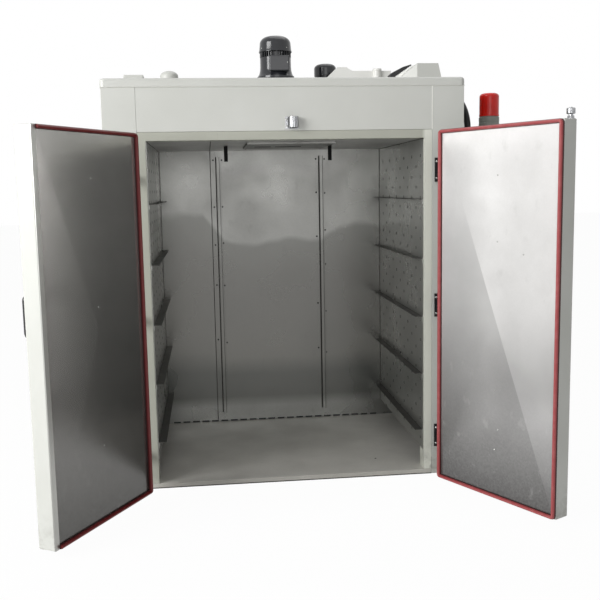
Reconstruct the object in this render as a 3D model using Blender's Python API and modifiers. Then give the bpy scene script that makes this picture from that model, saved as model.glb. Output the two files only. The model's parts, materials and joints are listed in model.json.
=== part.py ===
"""Walk-in industrial batch oven with two insulated doors, shown open.

The frame is +Z up, +X to the right and +Y into the oven, in metres. The origin is on the
ground, at the middle of the body's footprint. The doors turn on lift-off hinges in front of
the body, and they stand open at the rest pose.
"""

import math

import bmesh
import bpy
from mathutils import Matrix

# Space left between neighbouring pieces
GAP = 0.0003

# Body
OPENING_WIDTH = 1.500
OPENING_HEIGHT = 1.869
FRAME_STRIP = 0.043
FRAME_LINTEL = 0.046
POST_WIDTH = 0.177
BODY_DEPTH = 1.360
WALL = 0.100
FLOOR_THICKNESS = 0.028
HEADER_HEIGHT = 0.232
CAP_HEIGHT = 0.046
CAP_OVERHANG = 0.005
CAP_CORNER = 0.026
CAP_EDGE = 0.018

# Chamber
SHEET = 0.002
DUCT_FRONT_INSET = 0.020
DUCT_LIFT = 0.111
BACK_PLENUM = 0.053
HOLE_RADIUS = 0.006
HOLE_SIDES = 6
HOLE_PITCH_Y = 0.100
HOLE_PITCH_Z = 0.115
HOLE_MARGIN_Y = 0.060
HOLE_MARGIN_Z = 0.055
RIB_SPREAD = 0.700
RIB_CREST = 0.027
RIB_DEPTH = 0.025
RIB_FLANGE = 0.026
RIB_LIFT = 0.066
RIB_DROP = 0.043
SLOT_LENGTH = 0.054
SLOT_PITCH = 0.066
SLOT_HEIGHT = 0.008

# Shelf rails
RAIL_COUNT = 5
RAIL_FIRST = 0.227
RAIL_HEADROOM = 0.330
RAIL_SHELF = 0.043
RAIL_DROP = 0.030
RAIL_SHEET = 0.003
RAIL_FRONT_INSET = 0.030
RAIL_REAR_INSET = 0.017

# Ceiling fittings
GRILLE_WIDTH = 0.500
GRILLE_DEPTH = 0.560
GRILLE_CENTRE = (0.045, -0.180)
GRILLE_THICKNESS = 0.012
GRILLE_SLOTS = 6
GRILLE_SLOT = 0.022
GRILLE_RIM = 0.035
HANGER_SPREAD = 0.632
HANGER_Y = -0.080
HANGER_WIDTH = 0.023
HANGER_THICKNESS = 0.006
HANGER_DROP = 0.093

# Doors
DOOR_ANGLE = 119.0
DOOR_LAP = 0.040
DOOR_TOP_LAP = 0.030
DOOR_FLOOR_GAP = 0.016
DOOR_MEETING_GAP = 0.012
DOOR_THICKNESS = 0.0955
DOOR_STANDOFF = 0.025
DOOR_CORNER = 0.014
LINER_SHEET = 0.0017
LINER_CREASE = 0.0045
GASKET_WIDTH = 0.020
GASKET_CLEARANCE = 0.005
GASKET_CORNER = 0.018
ASTRAGAL_WIDTH = 0.030
ASTRAGAL_SHEET = 0.005

# Hinges
PIVOT_OFFSET = 0.042
PIVOT_SETBACK = 0.018
HINGE_ABOVE_FOOT = 0.1835
HINGE_BELOW_TOP = 0.203
HINGE_HEIGHT = 0.130
HINGE_PLATE = 0.008
HINGE_PLATE_WIDTH = 0.052
LEAF_PLATE_WIDTH = 0.060
LEAF_PLATE_INSET = 0.008
LEAF_ARM_INSET = 0.006
KNUCKLE_RADIUS = 0.015
KNUCKLE_HEIGHT = 0.032
KNUCKLE_PLAY = 0.0008
PIN_RADIUS = 0.006
PIN_PLAY = 0.0005

# Door fittings
HANDLE_LENGTH = 0.200
HANDLE_REACH = 0.072
HANDLE_BAR = 0.014
HANDLE_HEIGHT = 1.090
HANDLE_INSET = 0.070
LATCH_RADIUS = 0.020
LATCH_HEIGHT = 0.053
LATCH_WAIST = 0.013
LATCH_EASE = 0.005
LATCH_ROLLER_LIFT = 0.020
LATCH_FOOT = 0.006
LATCH_INSET = 0.024
KEEPER_X = 0.025
KEEPER_WIDTH = 0.070
KEEPER_HEIGHT = 0.063
KEEPER_REACH = 0.050
KEEPER_PLATE = 0.004
KEEPER_NOSE = 0.038
KEEPER_NOSE_INSET = 0.001
KEEPER_LIFT = 0.010

# Circulation fan motor on the roof
FAN_Y = -0.033
FAN_FOOT_RADIUS = 0.085
FAN_FOOT_HEIGHT = 0.070
FAN_FLANGE_RADIUS = 0.112
FAN_FLANGE = 0.014
FAN_BODY_RADIUS = 0.093
FAN_BODY_HEIGHT = 0.116
FAN_FLARE = (0.108, 0.052)
FAN_NECK_RADIUS = 0.080
FAN_NECK_HEIGHT = 0.026
FAN_FINS = 24
FAN_COWL_RADIUS = 0.098
FAN_COWL_HEIGHT = 0.094
FAN_SHOULDER = (0.056, 0.044)
FAN_COWL_TAPER = 0.005
TERMINAL_BOX_X = (-0.046, 0.074)
TERMINAL_BOX_HEIGHT = 0.092
TERMINAL_BOX_LIFT = 0.022
TERMINAL_BOX_REACH = 0.112

# Exhaust fan on the roof
EXHAUST_CENTRE = (0.337, 0.220)
EXHAUST_RADIUS = 0.070
EXHAUST_HEIGHT = 0.194
EXHAUST_SHOULDER = (0.036, 0.028)
EXHAUST_FLANGE_RADIUS = 0.076
EXHAUST_FLANGE = 0.012
DUCT_TOE = 0.229
DUCT_CREST = (0.379, 0.436)
DUCT_CREST_HEIGHT = 0.144
DUCT_SHOULDER = 0.470
DUCT_END = 0.712
DUCT_HEIGHT = 0.122
DUCT_Y = (-0.020, 0.120)
COLLAR_CENTRE = (0.624, -0.022)
COLLAR_RADIUS = 0.025
COLLAR_HEIGHT = 0.130

# Intake hood and vents on the roof, placed from the sides of the body
HOOD_FOOT = (0.321, 0.034)
HOOD_FOOT_SETBACK = 0.120
HOOD_CREST = (0.185, 0.061)
HOOD_Y = (-0.380, -0.180)
HOOD_HEIGHT = 0.115
VENT_BOX = (0.098, 0.207)
VENT_BOX_HEIGHT = 0.049
VENT_DOME = 0.3455
VENT_DOME_RADIUS = 0.050
VENT_DOME_HEIGHT = 0.075
VENT_DOME_SQUASH = 0.6
VENT_Y = -0.380
SHEET_EDGE = 0.006

# Control cabinet and beacon
CABINET_WIDTH = 0.480
CABINET_DEPTH = 0.300
CABINET_SETBACK = 0.150
CABINET_BOTTOM = 0.550
CABINET_HEIGHT = 1.394
CABINET_CORNER = 0.006
CABINET_DOOR = 0.018
CABINET_DOOR_MARGIN = 0.006
BEACON_RADIUS = 0.0585
BEACON_BASE_HEIGHT = 0.087
BEACON_DOME_HEIGHT = 0.133
BEACON_DOME_INSET = 0.001
BEACON_EDGE = 0.014
BEACON_OFFSET = 0.243
CONDUIT_RADIUS = 0.020
CONDUIT_RISE = 0.202
CONDUIT_REACH = 0.115
CONDUIT_LEAD = 0.015

# Places worked out from the sizes above
FRONT = -BODY_DEPTH / 2
REAR = BODY_DEPTH / 2
OPENING = OPENING_WIDTH / 2
POST_INNER = OPENING + FRAME_STRIP
SIDE = POST_INNER + POST_WIDTH
INNER_SIDE = SIDE - WALL
FLOOR = FLOOR_THICKNESS
OPENING_TOP = FLOOR + OPENING_HEIGHT
FRAME_TOP = OPENING_TOP + FRAME_LINTEL
CAP_BOTTOM = FRAME_TOP + HEADER_HEIGHT
ROOF = CAP_BOTTOM + CAP_HEIGHT
WALL_TOP = CAP_BOTTOM - GAP
FRAME_BACK = FRONT + WALL
CHAMBER_BACK = REAR - WALL - BACK_PLENUM
DUCT_FACE = OPENING - GAP - SHEET
RAIL_LOW = FLOOR + RAIL_FIRST
RAIL_STEP = (OPENING_TOP - RAIL_HEADROOM - RAIL_LOW) / (RAIL_COUNT - 1)
DOOR_EDGE = OPENING + DOOR_LAP
PIVOT_X = DOOR_EDGE + PIVOT_OFFSET
PIVOT_Y = FRONT - DOOR_STANDOFF - DOOR_THICKNESS + PIVOT_SETBACK
DOOR_FACE = DOOR_THICKNESS - PIVOT_SETBACK
DOOR_FREE = PIVOT_X - DOOR_MEETING_GAP / 2
DOOR_FOOT = FLOOR + DOOR_FLOOR_GAP
DOOR_TOP = OPENING_TOP + DOOR_TOP_LAP
CASE_FACE = DOOR_FACE - LINER_SHEET
GASKET_FACE = DOOR_FACE + DOOR_STANDOFF - GASKET_CLEARANCE
HINGE_LOW = DOOR_FOOT + HINGE_ABOVE_FOOT
HINGE_HIGH = DOOR_TOP - HINGE_BELOW_TOP
HINGE_HEIGHTS = (HINGE_LOW, (HINGE_LOW + HINGE_HIGH) / 2, HINGE_HIGH)
CABINET_FRONT = FRONT + CABINET_SETBACK
CABINET_Y = CABINET_FRONT + CABINET_DEPTH / 2
CABINET_TOP = CABINET_BOTTOM + CABINET_HEIGHT
BEACON_X = SIDE + BEACON_OFFSET

# Turns that stand a flat outline up
ALONG_Y = (math.pi / 2, 0.0, 0.0)
ALONG_X = (math.pi / 2, 0.0, math.pi / 2)

FINISHES = {
    "cabinet_paint": ((0.60, 0.60, 0.58), 0.45, 0.0),
    "galvanised": ((0.36, 0.36, 0.35), 0.38, 0.85),
    "polished_sheet": ((0.56, 0.56, 0.55), 0.22, 0.95),
    "rail_steel": ((0.20, 0.20, 0.20), 0.42, 0.80),
    "silicone": ((0.30, 0.035, 0.035), 0.50, 0.0),
    "hinge_black": ((0.012, 0.012, 0.013), 0.40, 0.0),
    "chrome": ((0.60, 0.60, 0.60), 0.15, 1.0),
    "motor_grey": ((0.055, 0.060, 0.068), 0.32, 0.0),
    "beacon_red": ((0.55, 0.015, 0.008), 0.15, 0.0),
    "beacon_grey": ((0.28, 0.28, 0.27), 0.50, 0.0),
    "conduit_black": ((0.015, 0.015, 0.015), 0.55, 0.0),
}


def clear_scene():
    """Remove what the file holds."""
    for found in list(bpy.data.objects):
        bpy.data.objects.remove(found, do_unlink=True)


def new_collection(name):
    made = bpy.data.collections.new(name)
    bpy.context.scene.collection.children.link(made)
    return made


def make_finish(name):
    colour, roughness, metallic = FINISHES[name]
    made = bpy.data.materials.new(name)
    made.use_nodes = True
    shader = made.node_tree.nodes["Principled BSDF"]
    shader.inputs["Base Color"].default_value = (*colour, 1.0)
    shader.inputs["Roughness"].default_value = roughness
    shader.inputs["Metallic"].default_value = metallic
    return made


clear_scene()
OVEN = new_collection("industrial_oven")
TOOLS = new_collection("cutters")
MATERIALS = {name: make_finish(name) for name in FINISHES}


def stand(name, data, finish, location=(0, 0, 0), turn=(0, 0, 0), parent=None):
    """Put a mesh or curve in the oven; a finish of None makes it a cutter or a guide."""
    made = bpy.data.objects.new(name, data)
    made.location = location
    made.rotation_euler = turn
    made.parent = parent
    if finish is None:
        TOOLS.objects.link(made)
        made.hide_render = True
        made.display_type = "WIRE"
    else:
        OVEN.objects.link(made)
        data.materials.append(MATERIALS[finish])
    return made


def block(name, low, high, finish, parent=None):
    """A box between two corners, with its origin in its middle."""
    size = [top - bottom for bottom, top in zip(low, high)]
    middle = [(top + bottom) / 2 for bottom, top in zip(low, high)]
    mesh = bpy.data.meshes.new(name)
    shape = bmesh.new()
    bmesh.ops.create_cube(shape, size=1.0)
    bmesh.ops.scale(shape, vec=size, verts=shape.verts)
    shape.to_mesh(mesh)
    shape.free()
    return stand(name, mesh, finish, middle, (0, 0, 0), parent)


def eased_block(name, low, high, corner, edge, finish):
    """A box with round upright corners and eased top edges."""
    made = block(name, low, high, finish)
    shape = bmesh.new()
    shape.from_mesh(made.data)
    near = 0.00001
    upright = [e for e in shape.edges if abs(e.verts[0].co.z - e.verts[1].co.z) > near]
    ease(shape, upright, corner, 4)
    crown = max(shape.faces, key=lambda face: face.calc_center_median().z)
    ease(shape, list(crown.edges), edge, 3)
    shape.to_mesh(made.data)
    shape.free()
    return made


def ease(shape, edges, offset, segments):
    bmesh.ops.bevel(
        shape, geom=edges, offset=offset, offset_type="OFFSET", segments=segments,
        profile=0.5, affect="EDGES", clamp_overlap=True, material=-1,
    )


def drum(name, radius, low, high, centre, finish, parent=None, sides=24):
    """An upright cylinder between two heights."""
    mesh = bpy.data.meshes.new(name)
    shape = bmesh.new()
    bmesh.ops.create_cone(
        shape, cap_ends=True, segments=sides, radius1=radius, radius2=radius, depth=high - low
    )
    shape.to_mesh(mesh)
    shape.free()
    mesh.shade_smooth()
    mesh.set_sharp_from_angle(angle=math.radians(35))
    return stand(name, mesh, finish, (*centre, (low + high) / 2), (0, 0, 0), parent)


def flat(name, outlines, thickness, finish, location=(0, 0, 0), turn=(0, 0, 0), parent=None):
    """A plate of even thickness from a flat outline and the outlines of its holes."""
    curve = bpy.data.curves.new(name, "CURVE")
    curve.dimensions = "2D"
    curve.fill_mode = "BOTH"
    curve.extrude = thickness / 2
    for outline in outlines:
        spline = curve.splines.new("POLY")
        spline.points.add(len(outline) - 1)
        for point, (across, along) in zip(spline.points, outline):
            point.co = (across, along, 0.0, 1.0)
        spline.use_cyclic_u = True
    return stand(name, curve, finish, location, turn, parent)


def turned(name, profile, finish, location=(0, 0, 0), steps=32, parent=None):
    """A body of revolution about Z, from a (radius, height) profile read from the top down."""
    mesh = bpy.data.meshes.new(name)
    points = [(radius, 0.0, height) for radius, height in profile]
    mesh.from_pydata(points, [(step, step + 1) for step in range(len(points) - 1)], [])
    made = stand(name, mesh, finish, location, (0, 0, 0), parent)
    screw = made.modifiers.new("turn", "SCREW")
    screw.axis = "Z"
    screw.steps = steps
    screw.render_steps = steps
    screw.use_merge_vertices = True
    screw.merge_threshold = 0.0001
    return made


def combine(body, tool, operation):
    """Join a guide to a body, or cut a cutter from it."""
    change = body.modifiers.new(tool.name, "BOOLEAN")
    change.operation = operation
    change.solver = "EXACT"
    change.object = tool
    return body


def repeat(tool, count, offset):
    """Copies of a cutter in a row; a second call repeats the row."""
    row = tool.modifiers.new("row", "ARRAY")
    row.count = count
    row.use_relative_offset = False
    row.use_constant_offset = True
    row.constant_offset_displace = offset
    return tool


def as_mesh(source):
    """Turn a curve object into a welded mesh object of the same name and place."""
    name = source.name
    graph = bpy.context.evaluated_depsgraph_get()
    mesh = bpy.data.meshes.new_from_object(source.evaluated_get(graph))
    shape = bmesh.new()
    shape.from_mesh(mesh)
    bmesh.ops.remove_doubles(shape, verts=shape.verts, dist=0.00001)
    bmesh.ops.recalc_face_normals(shape, faces=shape.faces)
    shape.to_mesh(mesh)
    shape.free()
    made = bpy.data.objects.new(name + "_mesh", mesh)
    made.parent = source.parent
    made.location = source.location
    made.rotation_euler = source.rotation_euler
    made.hide_render = source.hide_render
    made.display_type = source.display_type
    for holder in source.users_collection:
        holder.objects.link(made)
    bpy.data.objects.remove(source, do_unlink=True)
    made.name = name
    return made


def arc(centre, radius, start, end, steps):
    """Points along an arc, with its angles in degrees."""
    turns = [math.radians(start + (end - start) * step / steps) for step in range(steps + 1)]
    return [(centre[0] + radius * math.cos(t), centre[1] + radius * math.sin(t)) for t in turns]


def rounded(low, high, radius, steps=4):
    """A rectangle with round corners, anticlockwise from its lower right corner."""
    corners = ((high[0], low[1], -90), (high[0], high[1], 0), (low[0], high[1], 90), (low[0], low[1], 180))
    outline = []
    for across, along, start in corners:
        centre = (
            across - radius if across == high[0] else across + radius,
            along - radius if along == high[1] else along + radius,
        )
        outline += arc(centre, radius, start, start + 90, steps)
    return outline


def rectangle(low, high):
    return [(low[0], low[1]), (high[0], low[1]), (high[0], high[1]), (low[0], high[1])]


def mirrored(outline, side):
    """An outline drawn for the left side, turned over for the right side."""
    return [(-side * across, along) for across, along in outline]


def floor_pan():
    """One sheet-clad floor, narrower at the front where it passes between the posts."""
    narrow = POST_INNER - GAP
    wide = INNER_SIDE - GAP
    back = REAR - WALL - GAP
    step = FRAME_BACK + GAP
    outline = [
        (-narrow, FRONT), (narrow, FRONT), (narrow, step), (wide, step),
        (wide, back), (-wide, back), (-wide, step), (-narrow, step),
    ]
    flat("floor_pan", [outline], FLOOR_THICKNESS, "galvanised", (0, 0, FLOOR / 2))


def walls():
    """Insulated side walls, the rear wall between them, and the slab over the chamber."""
    for side, name in ((-1, "left"), (1, "right")):
        near, far = sorted((side * INNER_SIDE, side * SIDE))
        block(name + "_wall", (near, FRAME_BACK + GAP, 0), (far, REAR, WALL_TOP), "cabinet_paint")
        near, far = sorted((side * POST_INNER, side * SIDE))
        block(name + "_post", (near, FRONT, 0), (far, FRAME_BACK, WALL_TOP), "cabinet_paint")
    wide = INNER_SIDE - GAP
    block("rear_wall", (-wide, REAR - WALL, 0), (wide, REAR, WALL_TOP), "cabinet_paint")
    block(
        "ceiling_slab", (-wide, FRAME_BACK + GAP, OPENING_TOP),
        (wide, REAR - WALL - GAP, WALL_TOP), "galvanised",
    )
    block(
        "header_panel", (-POST_INNER + GAP, FRONT, FRAME_TOP),
        (POST_INNER - GAP, FRAME_BACK, WALL_TOP), "cabinet_paint",
    )


def roof_cap():
    reach = SIDE + CAP_OVERHANG
    eased_block(
        "roof_cap", (-reach, FRONT - CAP_OVERHANG, CAP_BOTTOM),
        (reach, REAR + CAP_OVERHANG, ROOF), CAP_CORNER, CAP_EDGE, "cabinet_paint",
    )


def door_frame():
    """The folded strip round the opening, in one piece: two jambs and a lintel."""
    outer = POST_INNER - GAP
    foot = FLOOR + GAP
    top = FRAME_TOP - GAP
    outline = [
        (-outer, foot), (-OPENING, foot), (-OPENING, OPENING_TOP), (OPENING, OPENING_TOP),
        (OPENING, foot), (outer, foot), (outer, top), (-outer, top),
    ]
    flat("door_frame", [outline], WALL, "cabinet_paint", (0, FRONT + WALL / 2, 0), ALONG_Y)


def duct_panels():
    """The two upright sheets between the chamber and the air ducts, with staggered holes."""
    low = (FRONT + DUCT_FRONT_INSET, FLOOR + DUCT_LIFT)
    high = (CHAMBER_BACK - GAP, OPENING_TOP - GAP)
    columns = int((high[0] - low[0] - 2 * HOLE_MARGIN_Y) / HOLE_PITCH_Y) + 1
    rows = int((high[1] - low[1] - 2 * HOLE_MARGIN_Z) / HOLE_PITCH_Z) + 1
    for side, name in ((-1, "left"), (1, "right")):
        near, far = sorted((side * DUCT_FACE, side * (DUCT_FACE + SHEET)))
        panel = block(
            name + "_duct_panel", (near, *low), (far, *high), "galvanised"
        )
        for stagger in (0, 1):
            first = (
                side * (DUCT_FACE + SHEET / 2),
                low[0] + HOLE_MARGIN_Y + stagger * HOLE_PITCH_Y,
                low[1] + HOLE_MARGIN_Z + stagger * HOLE_PITCH_Z / 2,
            )
            punch = hole_punch(first)
            repeat(punch, (columns + 1 - stagger) // 2, (0, 2 * HOLE_PITCH_Y, 0))
            repeat(punch, rows - stagger, (0, 0, HOLE_PITCH_Z))
            combine(panel, punch, "DIFFERENCE")


def hole_punch(centre):
    """A short rod along X, as wide as one air hole."""
    mesh = bpy.data.meshes.new("punch")
    shape = bmesh.new()
    bmesh.ops.create_cone(
        shape, cap_ends=True, segments=HOLE_SIDES, radius1=HOLE_RADIUS, radius2=HOLE_RADIUS,
        depth=3 * SHEET, matrix=Matrix.Rotation(math.pi / 2, 4, "Y"),
    )
    shape.to_mesh(mesh)
    shape.free()
    return stand("punch", mesh, None, centre)


def back_liner():
    """The rear sheet with its row of floor slots and its two folded hat ribs."""
    wide = INNER_SIDE - GAP
    low = FLOOR + GAP
    high = OPENING_TOP - GAP
    sheet = block(
        "back_liner", (-wide, CHAMBER_BACK, low), (wide, CHAMBER_BACK + SHEET, high), "galvanised"
    )
    count = int(OPENING_WIDTH / SLOT_PITCH)
    first = -(count - 1) / 2 * SLOT_PITCH - SLOT_LENGTH / 2
    slots = block(
        "slot_cutter", (first, CHAMBER_BACK - SHEET, low - SLOT_HEIGHT),
        (first + SLOT_LENGTH, CHAMBER_BACK + 2 * SHEET, low + SLOT_HEIGHT), None,
    )
    repeat(slots, count, (SLOT_PITCH, 0, 0))
    combine(sheet, slots, "DIFFERENCE")
    for side in (-1, 1):
        middle = side * RIB_SPREAD / 2
        rib_top = OPENING_TOP - RIB_DROP
        for half, depth in ((RIB_CREST / 2 + RIB_FLANGE, SHEET), (RIB_CREST / 2, RIB_DEPTH)):
            fold = block(
                "rib_guide", (middle - half, CHAMBER_BACK - depth, FLOOR + RIB_LIFT),
                (middle + half, CHAMBER_BACK + SHEET / 2, rib_top), None,
            )
            combine(sheet, fold, "UNION")


def shelf_rails():
    """Five angle rails a side, each with a shelf and a leg that lies on the duct panel."""
    front = FRONT + RAIL_FRONT_INSET
    back = CHAMBER_BACK - RAIL_REAR_INSET
    face = DUCT_FACE - GAP
    section = [
        (-face, -RAIL_DROP), (-face + RAIL_SHEET, -RAIL_DROP), (-face + RAIL_SHEET, -RAIL_SHEET),
        (-face + RAIL_SHELF, -RAIL_SHEET), (-face + RAIL_SHELF, 0), (-face, 0),
    ]
    for side, name in ((-1, "left"), (1, "right")):
        for rail in range(RAIL_COUNT):
            place = (0, (front + back) / 2, RAIL_LOW + rail * RAIL_STEP)
            label = f"{name}_rail_{rail + 1}"
            flat(label, [mirrored(section, side)], back - front, "rail_steel", place, ALONG_Y)


def ceiling_fittings():
    """The return air grille and two flat hangers under the ceiling."""
    top = OPENING_TOP - GAP
    across, along = GRILLE_CENTRE
    low = (across - GRILLE_WIDTH / 2, along - GRILLE_DEPTH / 2)
    high = (across + GRILLE_WIDTH / 2, along + GRILLE_DEPTH / 2)
    outlines = [rectangle(low, high)]
    pitch = (GRILLE_DEPTH - 2 * GRILLE_RIM) / GRILLE_SLOTS
    for slot in range(GRILLE_SLOTS):
        middle = low[1] + GRILLE_RIM + (slot + 0.5) * pitch
        outlines.append(rectangle(
            (low[0] + GRILLE_RIM, middle - GRILLE_SLOT / 2),
            (high[0] - GRILLE_RIM, middle + GRILLE_SLOT / 2),
        ))
    flat(
        "ceiling_grille", outlines, GRILLE_THICKNESS, "galvanised",
        (0, 0, top - GRILLE_THICKNESS / 2),
    )
    for side, name in ((-1, "left"), (1, "right")):
        middle = side * HANGER_SPREAD / 2
        block(
            name + "_hanger",
            (middle - HANGER_WIDTH / 2, HANGER_Y - HANGER_THICKNESS / 2, top - HANGER_DROP),
            (middle + HANGER_WIDTH / 2, HANGER_Y + HANGER_THICKNESS / 2, top),
            "hinge_black",
        )


def door_keeper():
    """The catch on the header that the right door's roller closes under."""
    half = KEEPER_WIDTH / 2
    nose = KEEPER_NOSE / 2
    centre = KEEPER_REACH - nose
    right = half - KEEPER_NOSE_INSET
    outline = [(half, 0), (half, KEEPER_PLATE), (right, KEEPER_PLATE)]
    outline += arc((right - nose, centre), nose, 0, 180, 10)
    outline += [(right - 2 * nose, KEEPER_PLATE), (-half, KEEPER_PLATE), (-half, 0)]
    outline = [(across, -along) for across, along in outline]
    bottom = FRAME_TOP + KEEPER_LIFT
    flat(
        "door_keeper", [outline], KEEPER_HEIGHT, "chrome",
        (KEEPER_X, FRONT - GAP, bottom + KEEPER_HEIGHT / 2),
    )


def hinge_brackets():
    """The fixed halves of the hinges: a plate on the post, a web, a knuckle and the pin."""
    plate_back = FRONT - GAP - PIVOT_Y
    half = HINGE_PLATE_WIDTH / 2
    for side, name in ((-1, "left"), (1, "right")):
        for count, height in enumerate(HINGE_HEIGHTS, start=1):
            centre = (side * PIVOT_X, PIVOT_Y)
            bracket = block(
                f"{name}_hinge_bracket_{count}",
                (centre[0] - half, PIVOT_Y + plate_back - HINGE_PLATE, height - HINGE_HEIGHT / 2),
                (centre[0] + half, PIVOT_Y + plate_back, height + HINGE_HEIGHT / 2),
                "hinge_black",
            )
            reach = plate_back - HINGE_PLATE / 2
            web = [(KNUCKLE_RADIUS, reach), (-KNUCKLE_RADIUS, reach)]
            web += arc((0, 0), KNUCKLE_RADIUS, 180, 360, 8)
            low = height - KNUCKLE_HEIGHT
            high = height - KNUCKLE_PLAY
            guide = flat("web_guide", [web], high - low, None, (*centre, (low + high) / 2))
            combine(bracket, as_mesh(guide), "UNION")
            pin_low = height - KNUCKLE_HEIGHT / 2
            pin_high = height + KNUCKLE_HEIGHT
            pin = drum("pin_guide", PIN_RADIUS, pin_low, pin_high, centre, None, None, 16)
            combine(bracket, pin, "UNION")


def hinge_leaves(side, name, parent):
    """The moving halves: a plate on the door's edge with a bored knuckle on an arm."""
    edge = PIVOT_OFFSET - GAP
    for count, height in enumerate(HINGE_HEIGHTS, start=1):
        near = -side * (edge - HINGE_PLATE)
        far = -side * edge
        shift = LEAF_PLATE_INSET - PIVOT_SETBACK
        leaf = block(
            f"{name}_hinge_leaf_{count}",
            (min(near, far), shift, height - HINGE_HEIGHT / 2),
            (max(near, far), shift + LEAF_PLATE_WIDTH, height + HINGE_HEIGHT / 2),
            "hinge_black", parent,
        )
        reach = edge - HINGE_PLATE / 2
        arm = [(reach, LEAF_ARM_INSET - KNUCKLE_RADIUS), (reach, KNUCKLE_RADIUS)]
        arm += arc((0, 0), KNUCKLE_RADIUS, 90, 270, 8)
        hole = arc((0, 0), PIN_RADIUS + PIN_PLAY, 0, 360, 16)[:-1]
        low = height + KNUCKLE_PLAY
        high = height + KNUCKLE_HEIGHT
        outlines = [mirrored(arm, side), hole]
        guide = flat("arm_guide", outlines, high - low, None, (0, 0, (low + high) / 2), (0, 0, 0), parent)
        combine(leaf, as_mesh(guide), "UNION")


def door(side, name):
    """A door drawn closed about its pivot, hung on an empty that stands it open."""
    pivot = bpy.data.objects.new(name + "_door_pivot", None)
    OVEN.objects.link(pivot)
    pivot.location = (side * PIVOT_X, PIVOT_Y, 0)
    pivot.rotation_euler = (0, 0, side * math.radians(DOOR_ANGLE))
    bpy.context.view_layer.update()
    middle = (DOOR_FOOT + DOOR_TOP) / 2

    corner = DOOR_CORNER
    outer = -PIVOT_SETBACK
    case = [(PIVOT_OFFSET, CASE_FACE)]
    case += arc((PIVOT_OFFSET + corner, outer + corner), corner, 180, 270, 4)
    case += arc((DOOR_FREE - corner, outer + corner), corner, 270, 360, 4)
    case += [(DOOR_FREE, CASE_FACE)]
    flat(
        name + "_door_case", [mirrored(case, side)], DOOR_TOP - DOOR_FOOT, "cabinet_paint",
        (0, 0, middle), (0, 0, 0), pivot,
    )

    free_trim = ASTRAGAL_WIDTH if side < 0 else GASKET_WIDTH
    low = (PIVOT_OFFSET + GASKET_WIDTH + GAP, DOOR_FOOT + GASKET_WIDTH + GAP)
    high = (DOOR_FREE - free_trim - GAP, DOOR_TOP - GASKET_WIDTH - GAP)
    face = CASE_FACE + GAP
    near, far = sorted((-side * low[0], -side * high[0]))
    liner = block(
        name + "_door_liner", (near, face, low[1]), (far, DOOR_FACE, high[1]),
        "polished_sheet", pivot,
    )
    cross_crease(liner)
    door_gasket(side, name, face, pivot)
    hinge_leaves(side, name, pivot)
    door_handle(side, name, pivot)
    return pivot


def cross_crease(sheet):
    """Raises the middle of a sheet's inner face, so that creases run to its corners."""
    shape = bmesh.new()
    shape.from_mesh(sheet.data)
    inner = max(shape.faces, key=lambda face: face.calc_center_median().y)
    bmesh.ops.poke(shape, faces=[inner], offset=LINER_CREASE)
    shape.to_mesh(sheet.data)
    shape.free()


def door_gasket(side, name, face, pivot):
    """A full ring on the right door; on the left door the free side is left open."""
    low = (PIVOT_OFFSET, DOOR_FOOT)
    high = (DOOR_FREE, DOOR_TOP)
    width = GASKET_WIDTH
    depth = GASKET_FACE - face
    place = (0, (face + GASKET_FACE) / 2, 0)
    if side > 0:
        ring = rounded(low, high, GASKET_CORNER)
        hole = rectangle((low[0] + width, low[1] + width), (high[0] - width, high[1] - width))
        outlines = [mirrored(ring, side), mirrored(hole, side)]
    else:
        end = high[0] - ASTRAGAL_WIDTH - GAP
        radius = GASKET_CORNER
        strip = [(end, low[1]), (end, low[1] + width), (low[0] + width, low[1] + width)]
        strip += [(low[0] + width, high[1] - width), (end, high[1] - width), (end, high[1])]
        strip += arc((low[0] + radius, high[1] - radius), radius, 90, 180, 4)
        strip += arc((low[0] + radius, low[1] + radius), radius, 180, 270, 4)
        outlines = [mirrored(strip, side)]
        block(
            name + "_door_astragal", (high[0] - ASTRAGAL_WIDTH, face, low[1]),
            (high[0], face + ASTRAGAL_SHEET, high[1]), "galvanised", pivot,
        )
    flat(name + "_door_gasket", outlines, depth, "silicone", place, ALONG_Y, pivot)


def door_handle(side, name, pivot):
    """A pull of flat bar, bent to a bow, on the outer face by the free edge."""
    root = -PIVOT_SETBACK - GAP
    low = HANDLE_HEIGHT - HANDLE_LENGTH / 2
    high = HANDLE_HEIGHT + HANDLE_LENGTH / 2
    bar = HANDLE_BAR
    outline = [
        (root, low), (root, low + bar), (root - HANDLE_REACH + bar, low + bar),
        (root - HANDLE_REACH + bar, high - bar), (root, high - bar), (root, high),
        (root - HANDLE_REACH, high), (root - HANDLE_REACH, low),
    ]
    middle = -side * (DOOR_FREE - HANDLE_INSET)
    flat(name + "_door_handle", [outline], 2 * bar, "hinge_black", (middle, 0, 0), ALONG_X, pivot)


def door_latch(pivot):
    """The roller on top of the right door, by its free edge."""
    low = DOOR_TOP + GAP
    high = DOOR_TOP + LATCH_HEIGHT
    radius = LATCH_RADIUS
    waist = LATCH_WAIST
    profile = [
        (0, high), (radius - LATCH_EASE, high), (radius, high - LATCH_EASE),
        (radius, low + LATCH_ROLLER_LIFT), (waist, low + LATCH_ROLLER_LIFT),
        (waist, low + LATCH_FOOT), (radius, low + LATCH_FOOT), (radius, low), (0, low),
    ]
    place = (-(DOOR_FREE - LATCH_INSET), -PIVOT_SETBACK + LATCH_RADIUS, 0)
    turned("right_door_latch", profile, "chrome", place, 18, pivot)


def shoulder(radius, top, reach, steps=4):
    """The round edge of a cowl: an ellipse from its flat top to its side."""
    return [
        (radius - reach[0] + across * reach[0], top - reach[1] + height * reach[1])
        for across, height in arc((0, 0), 1, 90, 0, steps)
    ]


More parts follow.
